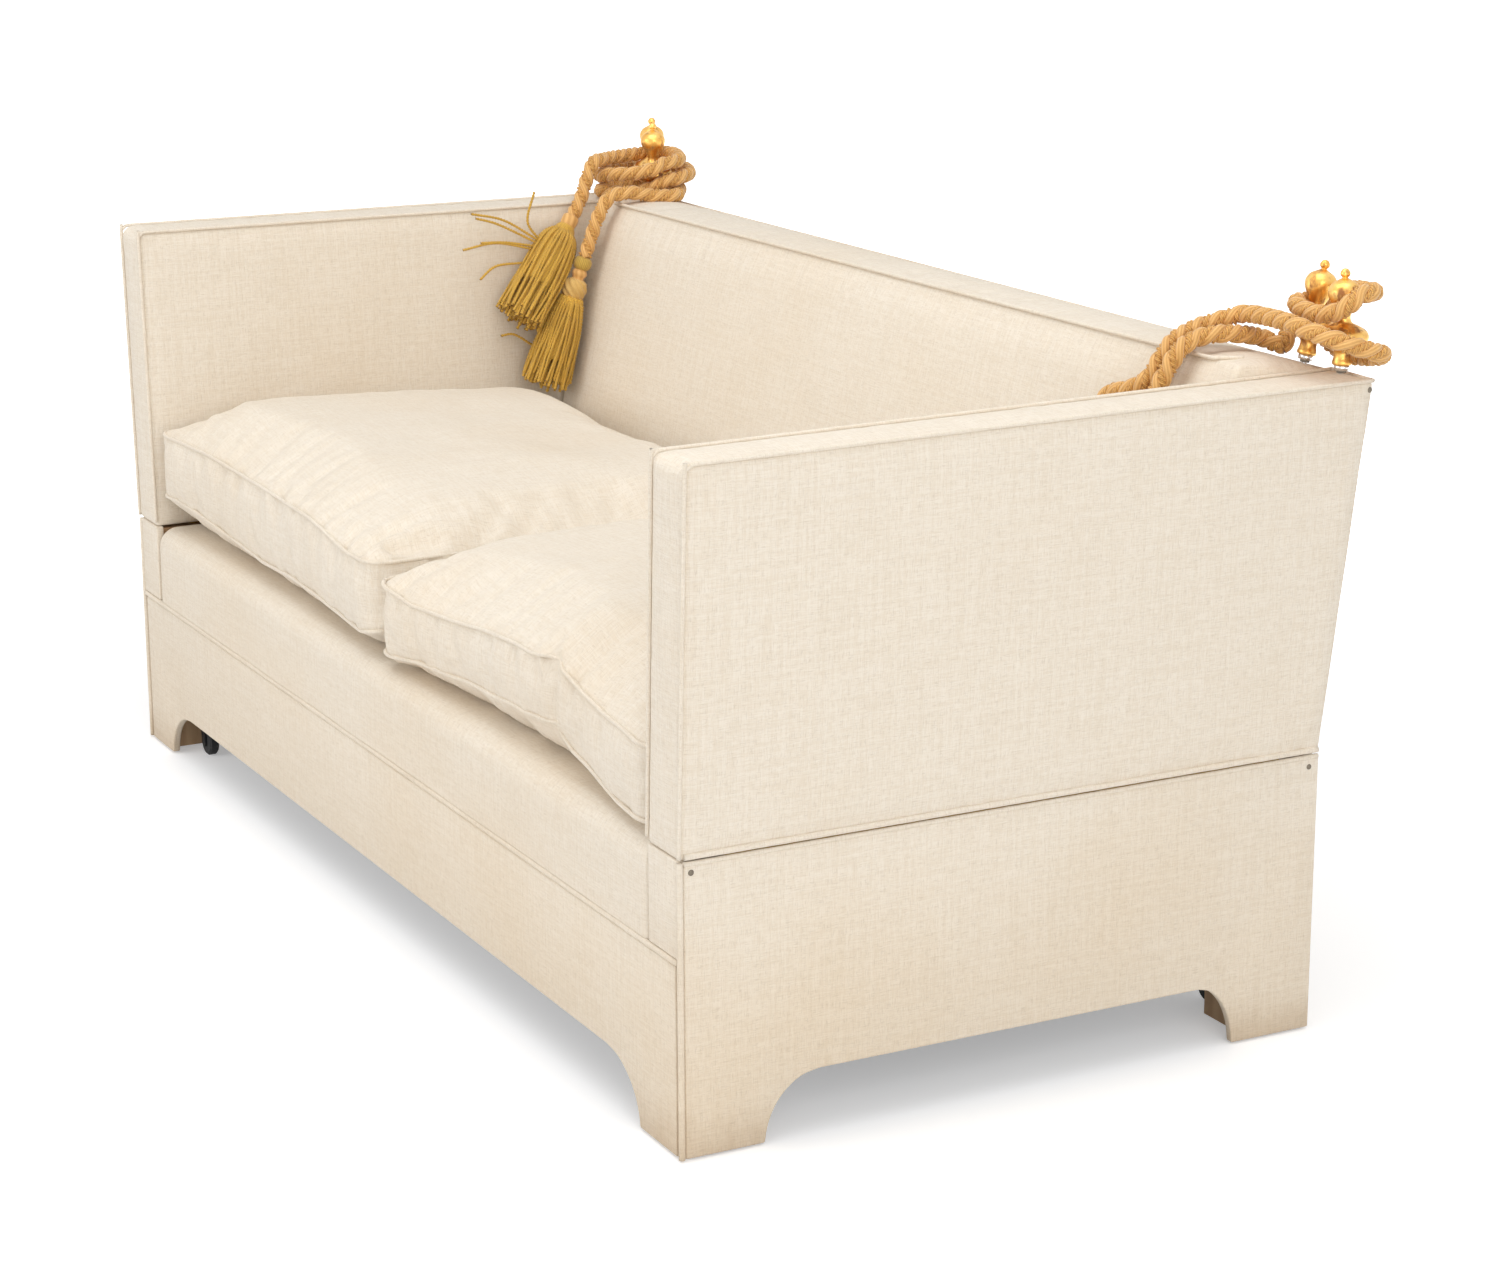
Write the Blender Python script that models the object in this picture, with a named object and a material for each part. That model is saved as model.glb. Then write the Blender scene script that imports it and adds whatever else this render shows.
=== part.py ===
"""Knole sofa: a box base on castors, a fixed back, two arms that let down on long hinges, two loose
cushions, and turned finials tied together at the rear corners with rope and tassels.

Metres, +Z up, the front faces -Y. The origin is on the floor, under the middle of the whole sofa.
"""

import math
from enum import IntEnum

import bmesh
import bpy
import numpy as np
from mathutils import Matrix, Vector

for old in list(bpy.data.objects):
    bpy.data.objects.remove(old, do_unlink=True)


class Axis(IntEnum):
    """Place of each coordinate in a point."""

    X = 0
    Y = 1
    Z = 2


class Side(IntEnum):
    """Which way X grows outwards on each side."""

    LEFT = -1
    RIGHT = 1


X, Y, Z = Axis
LEFT, RIGHT = Side
SIDES = (("left", LEFT), ("right", RIGHT))

# Clearances
GAP = 0.0003  # between pieces that touch
OVERRUN = 0.02  # how far a cutter runs past what it cuts
MERGE = 0.00001
SHARP = 50  # degrees

# Base box
BASE_WIDTH = 1.95
BASE_DEPTH = 0.90
REAR_REACH = 0.090  # how far the finials and rope stand out behind the base
SEAM_HEIGHT = 0.3711  # top of the box, where the arms and the back begin
FOOT_LIFT = 0.003  # the feet hang this far off the floor, and the castors carry the sofa
COVER = 0.012  # linen over its padding and board
BORDER_HEIGHT = 0.246  # the lower piping along the front
FRONT = -(BASE_DEPTH + REAR_REACH) / 2
REAR = FRONT + BASE_DEPTH
HALF = BASE_WIDTH / 2
HINGE_SEAT = SEAM_HEIGHT - 0.0046  # top of the posts and side rails, where the hinges lie

# Bracket feet: width of each foot, then how far the bracket reaches and how high it rises
FRONT_FOOT_WIDTH = 0.111
FRONT_BRACKET = (0.092, 0.0754)
SIDE_FOOT_WIDTHS = (0.1115, 0.119)
SIDE_BRACKETS = ((0.073, 0.081), (0.053, 0.081))
BRACKET_SHARES = ((0, 0), (0.05, 0.25), (0.16, 0.5), (0.36, 0.74), (0.66, 0.93), (1, 1))

# Piping
CORNER_PIPING = 0.004  # radius
PIPING_PROUD = 0.002  # how far its middle lies inside the covers' faces
CORNER_PIPING_TOP = SEAM_HEIGHT - 0.0111
ARM_PIPING = 0.0035
ARM_PIPING_FOOT = 0.008  # it ends this far above the arm's lower edge
PIPING_ROUND = 0.012  # how the piping turns at the top of the arm's front
PIPING_CORNER = 0.003  # and at its rear

# Timber
RAIL = 0.028  # thickness
SPRING_LEDGE = 0.020  # the back rail stands this far in front of the back's frame
RAIL_FOOT = 0.100
RAIL_DROP = 0.0051  # from the underside of the platform to the top of the rails
POST = 0.083
POST_LIFT = 0.006
POST_BLOCK = 0.070  # the castor block that each post carries on its inner side
BLOCK_FOOT = 0.090
CLOTH = 0.0015
CLOTH_MARGIN = 0.002

# Seat
DECK = 0.030
RAIL_TOP = SEAM_HEIGHT - DECK - RAIL_DROP
DECK_ROUND = 0.010
DECK_SIDE_GAP = 0.0025
SPRING_WIRE = 0.0018  # radius
SPRING_RUNS = 5
SPRING_BENDS = 11
SPRING_SWING = 0.055  # half of a zigzag's width
CUSHION_SETBACK = 0.004
CUSHION_TUCK = 0.002  # how far their rear edges pass the foot of the back, which leans away
CUSHION_MEETING = 0.030  # the two cushions meet this far right of the middle
CUSHION_GAP = 0.006
CUSHION_LOW_EDGE = 0.030  # above the deck
CUSHION_BORDER = 0.096
CUSHION_CROWN = 0.086
CUSHION_CROWN_FLAT = 0.002  # from the innermost ring of its top to the middle
CUSHION_DRAW = 0.022  # how far the sides pull in between the corners
CUSHION_WAIST = 0.010
CUSHION_ROUND = 0.045
CUSHION_SIDE_STEPS = 8
CUSHION_SHOULDER = 0.050  # how soon its top rises inside the seam
CUSHION_SEAM_FADE = 0.77  # the seams are level from this share of the depth
CUSHION_TOP_SHARES = (0.965, 0.92, 0.85, 0.75, 0.60, 0.40, 0.20)
CUSHION_FOOT_SHARES = ((0.93, 0.50), (0.80, 1.0))
# How the feathers have settled along the front: share of the width, lift of the lower and of the upper seam
CUSHION_SEAMS = {
    "left_cushion": (
        (0, 0.0266, 0.0296), (0.26, 0.0146, 0.0300), (0.47, 0.0030, 0.0236), (0.69, 0.0066, 0.0206),
        (0.88, 0.0036, 0.0066), (1, 0.0146, 0.0146),
    ),
    "right_cushion": (
        (0, -0.0054, -0.0034), (0.14, 0.0026, -0.0154), (0.27, 0.0096, -0.0089), (0.49, 0.0211, 0.0076),
        (0.62, 0.0276, 0.0166), (0.72, 0.0096, 0.0026), (0.90, -0.0124, -0.0124), (1, -0.0134, -0.0194),
    ),
}

# Arms
ARM_THICK = 0.082
ARM_LEAN = 0.0245  # how far the arm's outer face leans out, from the seam to the top
ARM_THICKEN = 0.002  # how much thicker the arm is at the top
ARM_FRONT_TOP = 0.841
ARM_REAR_TOP = 0.8475
ARM_REAR_TOPS = {"left": 0.8330, "right": ARM_REAR_TOP}  # the left arm has sunk a little
ARM_RAKE = 0.043  # how far the rear edge runs back, from the seam to the top
ARM_ROUND = 0.018
ARM_EDGE = 0.010
ARM_FRAME = 0.028
ARM_FRAME_INSET = 0.035
ARM_FRAME_RAIL = 0.060
ARM_BOTTOM = SEAM_HEIGHT + GAP

# Hinges
PIN = 0.0010  # radius
KNUCKLE = 0.0023
KNUCKLE_BORE = 0.0013
KNUCKLE_GAP = 0.0005
KNUCKLES = 5
LEAF = 0.0020
LEAF_WIDTH = 0.060
HINGE_INSET = 0.002  # the pin lies this far inside the base's side
HINGE_MARGIN = 0.060  # from the front and the rear of the base
HINGE_X = HALF - HINGE_INSET
HINGE_Z = (HINGE_SEAT + ARM_BOTTOM) / 2

# Back
BACK_CREST = 0.851  # height of its front top edge at the middle
BACK_CREST_TILT = 0.0135  # and how much higher that edge is at the right end
BACK_REAR_TOP = 0.8345  # height of its rear top edge at the middle
BACK_REAR_TILT = 0.0090
BACK_TOP_DEPTH = 0.100  # of the front top edge, from the rear of the base
BACK_FOOT_DEPTH = 0.210
BACK_MIDDLE = (0.149, 0.670)  # a point of the front face: depth and height
BACK_TOP_SWELL = 0.005
BACK_END_GAP = 0.005  # to the arms
BACK_EDGE = 0.011
BACK_STATION_SHARES = (-1, -0.93, -0.8, -0.55, -0.28, 0, 0.28, 0.55, 0.8, 0.93, 1)
BACK_FRAME = 0.028
BACK_FRAME_TOP = 0.810
BACK_FRAME_RAIL = 0.070
BACK_FRAME_INSET = 0.020
BACK_FRAME_COVER = 0.0125  # linen and padding behind the frame
CURL = 0.035  # of the piping, at both ends of the front top edge
CURL_LIFT = 0.0048
CUSHION_DEPTH = BASE_DEPTH - BACK_FOOT_DEPTH - CUSHION_SETBACK + CUSHION_TUCK

# Castors
WHEEL = 0.022  # radius
WHEEL_WIDTH = 0.016
WHEEL_ROUND = 0.003
AXLE = 0.003
AXLE_BORE = 0.0033
TRAIL = 0.010
CHEEK = 0.0025
CHEEK_GAP = 0.001
FORK_TOP = 0.0565
FORK_PLATE = 0.004
HOUSING = 0.011
STEM = 0.005
STEM_BORE = 0.0053
STEM_TOP = 0.120
CASTOR_INSET = 0.035  # of the stem, from the inner end of the post's block

# Finials: (radius, height above the cloth) down the turned outline
FINIAL_OUTLINE = (
    (0.0000, 0.1290), (0.0035, 0.1280), (0.0060, 0.1240), (0.0058, 0.1205), (0.0036, 0.1175),
    (0.0075, 0.1150), (0.0145, 0.1110), (0.0190, 0.1050), (0.0203, 0.0985), (0.0185, 0.0910),
    (0.0140, 0.0830), (0.0105, 0.0760), (0.0085, 0.0690), (0.0110, 0.0620), (0.0200, 0.0575),
    (0.0285, 0.0520), (0.0318, 0.0450), (0.0290, 0.0375), (0.0200, 0.0310), (0.0115, 0.0270),
    (0.0105, 0.0200), (0.0120, 0.0140), (0.0118, 0.0105), (0.0095, 0.0095),
)
FINIAL_BORE = 0.0043
FINIAL_BORE_TOP = 0.045
FINIAL_STEPS = 16
SCREW = 0.0040
SCREW_TOP = 0.044
SCREW_DEPTH = 0.045  # below the cloth, into the frame
SCREW_STEPS = 12
# Where each finial stands: distance in from the base's side, back from its rear, and up from the cloth
FINIAL_PLACES = {
    "left_arm": (0.020, 0.018, 0.0),
    "right_arm": (0.020, 0.025, 0.004),
    "left_back": (0.097, -0.018, 0.0),
    "right_back": (0.0875, 0.019, 0.005),
}
FINIAL_LEANS = {"right_back": 12}  # degrees, back from upright

# Rope
ROPE = 0.0120  # radius
ROPE_SLACK = 0.0015  # between the rope and the finials
LOOP_POINTS = 24  # in a turn
LOOP_PLACES = 8  # in a turn, where its height is given
LOOP_EASE = 0.011  # how far a loop rounds off the straight pull between two finials
LOOP_STEP = 0.018
TAIL_STEP = 0.036
# The rope's turns, from the front by the outer side to the rear: at each eighth of a turn its height
# above the arm's cloth, and how far it stands away from the finials
LEFT_LOOPS = (
    (0.0674, 0), (0.0661, 0), (0.0655, 0), (0.0658, 0), (0.0680, 0.004), (0.0690, 0.012), (0.0670, 0.006),
    (0.0530, 0), (0.0420, 0), (0.0410, 0.004), (0.0405, 0.008), (0.0405, 0.010), (0.0410, 0.010),
    (0.0442, 0.008), (0.0386, 0), (0.0170, 0), (0.0168, 0), (0.0168, 0), (0.0168, 0), (0.0168, 0),
    (0.0168, 0.004), (0.0168, 0.016),
)
RIGHT_LOOPS = (
    (0.0615, 0.016), (0.0510, 0.016), (0.0360, 0.020), (0.0220, 0.014), (0.0135, 0.004), (0.0335, 0.011),
    (0.0740, 0), (0.0750, 0), (0.0720, 0), (0.0810, 0), (0.1020, 0), (0.1020, 0), (0.0910, 0.004),
    (0.0560, 0.040), (0.0155, 0.026),
)
LEFT_NOSE = (0.050, 0.075)  # the loops are pulled forward to here: in from the side, in front of the rear
LEFT_NOSE_ROUND = 0.016
# Tails: distance in from the base's side, in front of its rear, and height, from the loops to the tassel
LEFT_FRONT_TAIL = (
    (0.070, 0.114, 0.902), (0.077, 0.130, 0.878), (0.086, 0.149, 0.840), (0.096, 0.179, 0.800),
)
LEFT_BACK_TAIL = (
    (0.160, 0.010, 0.8500), (0.156, 0.050, 0.8525), (0.149, 0.088, 0.8590), (0.143, 0.121, 0.8520),
    (0.141, 0.141, 0.822), (0.139, 0.154, 0.787), (0.138, 0.165, 0.757),
)
RIGHT_FRONT_TAIL = (
    (0.110, 0.026, 0.9110), (0.160, 0.024, 0.9065), (0.182, 0.048, 0.8965), (0.188, 0.078, 0.8885),
    (0.184, 0.110, 0.8772), (0.184, 0.128, 0.8590), (0.193, 0.142, 0.8302), (0.222, 0.152, 0.812),
    (0.256, 0.154, 0.802), (0.274, 0.157, 0.785), (0.284, 0.167, 0.755),
)
RIGHT_REAR_TAIL = (
    (0.163, -0.008, 0.8730), (0.152, 0.030, 0.8825), (0.150, 0.070, 0.8870), (0.158, 0.097, 0.8815),
    (0.155, 0.122, 0.8710), (0.158, 0.137, 0.8478), (0.162, 0.147, 0.8265), (0.170, 0.153, 0.803),
    (0.178, 0.165, 0.768),
)

# Tassels: (radius, distance from the rope's end), down the neck, the knob and the skirt
TASSEL_OUTLINE = (
    (0.0000, 0.0000), (0.0125, 0.0000), (0.0155, 0.0060), (0.0155, 0.0160), (0.0110, 0.0230),
    (0.0120, 0.0330), (0.0170, 0.0420), (0.0185, 0.0560), (0.0170, 0.0700), (0.0200, 0.0800),
    (0.0290, 0.1250), (0.0370, 0.1750), (0.0430, 0.2150), (0.0420, 0.2240), (0.0000, 0.2240),
)
WRAPPED_TASSEL_OUTLINE = (
    (0.0000, 0.0000), (0.0125, 0.0000), (0.0140, 0.0040), (0.0130, 0.0120), (0.0230, 0.0260),
    (0.0290, 0.0600), (0.0340, 0.1100), (0.0370, 0.1600), (0.0360, 0.1850), (0.0000, 0.1850),
)
TASSEL_FLUTES = 10
TASSEL_FLUTE_SHARE = 0.90

# Finishes: colour, roughness, metal
LINEN = ("linen", (0.80, 0.74, 0.62), 0.92, 0.0)
BEECH = ("beech", (0.62, 0.42, 0.24), 0.60, 0.0)
HESSIAN = ("black bottom cloth", (0.05, 0.05, 0.05), 0.95, 0.0)
STEEL = ("bright steel", (0.70, 0.71, 0.72), 0.25, 1.0)
SPRING_STEEL = ("spring steel", (0.22, 0.23, 0.25), 0.45, 1.0)
BRASS = ("brass", (0.60, 0.45, 0.18), 0.35, 1.0)
BLACK_IRON = ("black iron", (0.05, 0.05, 0.05), 0.50, 1.0)
RUBBER = ("black rubber", (0.03, 0.03, 0.03), 0.70, 0.0)
GILT = ("gilt wood", (0.62, 0.36, 0.08), 0.30, 1.0)
ROPE_GOLD = ("gold rope", (0.62, 0.34, 0.11), 0.80, 0.0)
TASSEL_GOLD = ("mustard silk", (0.52, 0.32, 0.05), 0.75, 0.0)


def painted(node, finish):
    """The node's own material, from a finish."""
    kind, colour, roughness, metallic = finish
    material = bpy.data.materials.new(f"{node} {kind}")
    material.use_nodes = True
    shader = material.node_tree.nodes["Principled BSDF"]
    shader.inputs["Base Color"].default_value = (*colour, 1.0)
    shader.inputs["Roughness"].default_value = roughness
    shader.inputs["Metallic"].default_value = metallic
    return material


def placed(name, data, finish):
    """A named object that shows a mesh or a curve."""
    obj = bpy.data.objects.new(name, data)
    bpy.context.scene.collection.objects.link(obj)
    if finish:
        data.materials.append(painted(name, finish))
    return obj


def solid(name, bm, finish=None, smooth=None):
    """An object from a bmesh; smooth is the angle under which its faces blend, in degrees."""
    bmesh.ops.recalc_face_normals(bm, faces=bm.faces[:])
    if bm.calc_volume(signed=True) < 0:
        bmesh.ops.reverse_faces(bm, faces=bm.faces[:])
    mesh = bpy.data.meshes.new(name)
    bm.to_mesh(mesh)
    bm.free()
    if smooth:
        mesh.shade_smooth()
        mesh.set_sharp_from_angle(angle=math.radians(smooth))
    return placed(name, mesh, finish)


def prism(outline, axis, low, high):
    """A solid whose outline, given in the two other axes, runs from low to high along one axis."""
    others = [k for k in (X, Y, Z) if k != axis]
    bm = bmesh.new()
    ring = []
    for point in outline:
        place = [0.0, 0.0, 0.0]
        place[others[0]], place[others[1]] = point
        place[axis] = min(low, high)
        ring.append(bm.verts.new(place))
    raised = bmesh.ops.extrude_face_region(bm, geom=[bm.faces.new(ring)])
    shift = [0.0, 0.0, 0.0]
    shift[axis] = abs(high - low)
    ends = [v for v in raised["geom"] if isinstance(v, bmesh.types.BMVert)]
    bmesh.ops.translate(bm, verts=ends, vec=shift)
    return bm


def block(x, y, z):
    """A box from three pairs of limits."""
    return prism(((y[0], z[0]), (y[1], z[0]), (y[1], z[1]), (y[0], z[1])), X, x[0], x[1])


def turned(outline, steps, closed=False):
    """A solid of revolution about Z from (radius, height) points; closed joins the last to the first."""
    bm = bmesh.new()
    verts = [bm.verts.new((radius, 0.0, height)) for radius, height in outline]
    pairs = list(zip(verts, verts[1:]))
    if closed:
        pairs.append((verts[-1], verts[0]))
    edges = [bm.edges.new(pair) for pair in pairs]
    bmesh.ops.spin(
        bm, geom=verts + edges, cent=(0, 0, 0), axis=(0, 0, 1), angle=math.tau, steps=steps, use_merge=True
    )
    bmesh.ops.remove_doubles(bm, verts=bm.verts[:], dist=MERGE)
    return bm


def cylinder(radius, start, end, steps):
    """A cylinder between two points."""
    start, end = Vector(start), Vector(end)
    length = (end - start).length
    bm = turned(((0, 0), (radius, 0), (radius, length), (0, length)), steps)
    turn = (end - start).to_track_quat("Z", "Y").to_matrix().to_4x4()
    bmesh.ops.transform(bm, matrix=Matrix.Translation(start) @ turn, verts=bm.verts[:])
    return bm


def tube(name, points, radius, finish, rounds=2):
    """A round tube with capped ends along points."""
    curve = bpy.data.curves.new(name, "CURVE")
    curve.dimensions = "3D"
    curve.bevel_depth = radius
    curve.bevel_resolution = rounds
    curve.use_fill_caps = True
    spline = curve.splines.new("POLY")
    spline.points.add(len(points) - 1)
    for spot, place in zip(spline.points, points):
        spot.co = (*place, 1.0)
    return placed(name, curve, finish)


def bevelled(obj, width, segments=2):
    """Rounds the edges of an object where its faces turn by more than SHARP degrees."""
    bevel = obj.modifiers.new("rounded edges", "BEVEL")
    bevel.width = width
    bevel.segments = segments
    bevel.limit_method = "ANGLE"
    bevel.angle_limit = math.radians(SHARP)
    return obj


def combined(obj, other, operation="DIFFERENCE"):
    """Cuts another solid from an object, or joins it on; the other one becomes a hidden guide."""
    other.hide_render = True
    other.display_type = "WIRE"
    boolean = obj.modifiers.new(operation.lower(), "BOOLEAN")
    boolean.operation = operation
    boolean.object = other
    return obj


def arc(centre, radius, start, end, steps):
    """Points of a circle in a plane, from one angle to another in degrees."""
    turns = [math.radians(start + (end - start) * k / steps) for k in range(steps + 1)]
    return [(centre[0] + radius * math.cos(a), centre[1] + radius * math.sin(a)) for a in turns]


def bracket_outline(low, high, top, feet, brackets):
    """The outline of a skirt board with a bracket foot at each end."""
    (first, last), (near, far) = feet, brackets
    points = [(low, top), (low, FOOT_LIFT)]
    points += [(low + first + near[0] * u, FOOT_LIFT + near[1] * v) for u, v in BRACKET_SHARES]
    points += [(high - last - far[0] * u, FOOT_LIFT + far[1] * v) for u, v in reversed(BRACKET_SHARES)]
    points += [(high, FOOT_LIFT), (high, top)]
    return points


def spaced(points, step):
    """The same route with points at even distances, about one step apart."""
    points = np.array(points, float)
    run = np.concatenate(([0.0], np.cumsum(np.linalg.norm(np.diff(points, axis=0), axis=1))))
    at = np.linspace(0.0, run[-1], max(2, round(run[-1] / step) + 1))
    return np.stack([np.interp(at, run, points[:, k]) for k in (X, Y, Z)], axis=1)


def curved(points, fine=12):
    """A smooth curve through points, cut into short steps."""
    points = [np.array(p, float) for p in points]
    points = [2 * points[0] - points[1], *points, 2 * points[-1] - points[-2]]
    route = []
    for a, b, c, d in zip(points, points[1:], points[2:], points[3:]):
        for t in np.linspace(0.0, 1.0, fine, endpoint=False):
            route.append(
                (2 * b + (c - a) * t + (2 * a - 5 * b + 4 * c - d) * t**2 + (3 * b - a - 3 * c + d) * t**3) / 2
            )
    return np.array(route + [points[-2]])


# Base covers and their piping

PIPE_CLEAR = CORNER_PIPING + GAP
COVER_INSIDE = HALF - COVER - GAP
BORDER_LOW = BORDER_HEIGHT - PIPE_CLEAR
BORDER_HIGH = BORDER_HEIGHT + PIPE_CLEAR
ARM_INSIDE = HALF - ARM_THICK
DECK_HALF = ARM_INSIDE - DECK_SIDE_GAP


def base_covers():
    """Front and rear skirts, and side covers that turn the front corners above the lower piping."""
    feet = (FRONT_FOOT_WIDTH - COVER - GAP,) * 2
    brackets = (FRONT_BRACKET,) * 2
    outline = bracket_outline(-COVER_INSIDE, COVER_INSIDE, BORDER_LOW, feet, brackets)
    solid("front_skirt", prism(outline, Y, FRONT, FRONT + COVER), LINEN)
    outline = bracket_outline(-COVER_INSIDE, COVER_INSIDE, SEAM_HEIGHT, feet, brackets)
    solid("rear_skirt", prism(outline, Y, REAR - COVER, REAR), LINEN)
    front = FRONT + PIPING_PROUD + PIPE_CLEAR
    feet = (SIDE_FOOT_WIDTHS[0] - front + FRONT, SIDE_FOOT_WIDTHS[1])
    outline = bracket_outline(front, REAR, HINGE_SEAT, feet, SIDE_BRACKETS)
    for name, side in SIDES:
        panel = solid(f"{name}_side_cover", prism(outline, X, side * (HALF - COVER), side * HALF), LINEN)
        corner = solid(
            f"{name}_corner_guide",
            block(
                sorted((side * (ARM_INSIDE + GAP), side * (HALF - PIPING_PROUD - PIPE_CLEAR))),
                (FRONT, FRONT + COVER),
                (BORDER_HIGH, SEAM_HEIGHT),
            ),
        )
        combined(panel, corner, "UNION")


def base_piping():
    """Piping along the front, and down both front corners."""
    inset = PIPING_PROUD
    end = HALF - inset - PIPE_CLEAR
    tube(
        "front_piping",
        spaced([(-end, FRONT + inset, BORDER_HEIGHT), (end, FRONT + inset, BORDER_HEIGHT)], BASE_WIDTH / 8),
        CORNER_PIPING,
        LINEN,
    )
    for name, side in SIDES:
        x, y = side * (HALF - inset), FRONT + inset
        tube(f"{name}_corner_piping", [(x, y, FOOT_LIFT), (x, y, CORNER_PIPING_TOP)], CORNER_PIPING, LINEN)


# Timber, springs and platform

POST_FRONT = FRONT + COVER + GAP
POST_REAR = REAR - COVER - GAP
BLOCK_END = COVER_INSIDE - POST - POST_BLOCK
CASTOR_X = BLOCK_END + CASTOR_INSET
CASTOR_YS = {"front": POST_FRONT + POST / 2, "rear": POST_REAR - POST / 2}
POST_YS = {"front": (POST_FRONT, POST_FRONT + POST), "rear": (POST_REAR - POST, POST_REAR)}


def timber():
    """Four corner posts with castor blocks, and the rails between them."""
    for end, (near, far) in POST_YS.items():
        for name, side in SIDES:
            outline = [
                (side * COVER_INSIDE, POST_LIFT),
                (side * COVER_INSIDE, HINGE_SEAT),
                (side * (COVER_INSIDE - POST + OVERRUN), HINGE_SEAT),
                (side * (COVER_INSIDE - POST + OVERRUN), RAIL_TOP),
                (side * BLOCK_END, RAIL_TOP),
                (side * BLOCK_END, BLOCK_FOOT),
                (side * (COVER_INSIDE - POST), BLOCK_FOOT),
                (side * (COVER_INSIDE - POST), POST_LIFT),
            ]
            post = solid(f"{end}_{name}_post", prism(outline, Y, near, far), BEECH)
            x, y = side * CASTOR_X, CASTOR_YS[end]
            bore = cylinder(STEM_BORE, (x, y, BLOCK_FOOT - OVERRUN), (x, y, STEM_TOP + GAP), SCREW_STEPS)
            combined(post, solid(f"{end}_{name}_stem_bore", bore))
    inner = BLOCK_END - GAP
    solid("front_rail", block((-inner, inner), (POST_FRONT, POST_FRONT + RAIL), (RAIL_FOOT, RAIL_TOP)), BEECH)
    near = POST_REAR - RAIL - SPRING_LEDGE
    solid("back_rail", block((-inner, inner), (near, POST_REAR), (RAIL_FOOT, RAIL_TOP)), BEECH)
    near, far = POST_FRONT + POST + GAP, POST_REAR - POST - GAP
    for name, side in SIDES:
        limits = sorted((side * (COVER_INSIDE - RAIL), side * COVER_INSIDE))
        solid(f"{name}_side_rail", block(limits, (near, far), (RAIL_FOOT, HINGE_SEAT)), BEECH)


def bottom_cloth():
    """The cloth that closes the base from below, cut round the four posts."""
    outer, inner = COVER_INSIDE - CLOTH_MARGIN, BLOCK_END - CLOTH_MARGIN
    near, far = POST_FRONT + CLOTH_MARGIN, POST_REAR - CLOTH_MARGIN
    post_near, post_far = POST_FRONT + POST + CLOTH_MARGIN, POST_REAR - POST - CLOTH_MARGIN
    half = [(inner, near), (inner, post_near), (outer, post_near)]
    half += [(outer, post_far), (inner, post_far), (inner, far)]
    outline = half + [(-x, y) for x, y in reversed(half)]
    solid("bottom_cloth", prism(outline, Z, RAIL_FOOT - GAP - CLOTH, RAIL_FOOT - GAP), HESSIAN)


def seat_springs():
    """Zigzag springs from the front rail to the back rail, drawn as one wire that runs to and fro."""
    height = RAIL_TOP + GAP + SPRING_WIRE
    near, far = POST_FRONT + RAIL / 2, POST_REAR - RAIL - SPRING_LEDGE / 2
    pitch = 2 * BLOCK_END / (SPRING_RUNS + 1)
    points = []
    for run in range(SPRING_RUNS):
        middle = -BLOCK_END + pitch * (run + 1)
        ends = (near, far) if run % 2 == 0 else (far, near)
        points.append((middle - SPRING_SWING, ends[0], height))
        for bend in range(SPRING_BENDS):
            sway = SPRING_SWING if bend % 2 == 0 else -SPRING_SWING
            along = ends[0] + (ends[1] - ends[0]) * (bend + 1) / (SPRING_BENDS + 1)
            points.append((middle + sway, along, height))
        points.append((middle + SPRING_SWING, ends[1], height))
    tube("seat_springs", points, SPRING_WIRE, SPRING_STEEL, rounds=0)


def seat_deck():
    """The stuffed platform, whose rounded front band hangs down to the lower piping."""
    under = SEAM_HEIGHT - DECK
    rear = POST_REAR - BACK_FRAME - BACK_FRAME_COVER
    outline = [
        (FRONT, BORDER_HIGH),
        *arc((FRONT + DECK_ROUND, SEAM_HEIGHT - DECK_ROUND), DECK_ROUND, 180, 90, 4),
        (rear, SEAM_HEIGHT),
        (rear, under),
        (FRONT + COVER, under),
        (FRONT + COVER, BORDER_HIGH),
    ]
    solid("seat_deck", prism(outline, X, -DECK_HALF, DECK_HALF), LINEN)


# Cushions


def cushion_outline(left, right, near, far):
    """Plan of a cushion: sides that draw in between round corners."""
    corners = ((left, near), (right, near), (right, far), (left, far))
    points = []
    for (x0, y0), (x1, y1) in zip(corners, corners[1:] + corners[:1]):
        side = Vector((x1 - x0, y1 - y0))
        along, inward = side.normalized(), Vector((y0 - y1, x1 - x0)).normalized()
        ease = CUSHION_ROUND * (1 - math.sqrt(0.5))
        points.append(Vector((x0, y0)) + ease * (along + inward))
        for step in range(1, CUSHION_SIDE_STEPS):
            start = CUSHION_ROUND + (side.length - 2 * CUSHION_ROUND) * (step - 1) / (CUSHION_SIDE_STEPS - 2)
            t = 2 * start / side.length - 1
            points.append(Vector((x0, y0)) + along * start + inward * CUSHION_DRAW * (1 - t * t))
    return points


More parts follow.
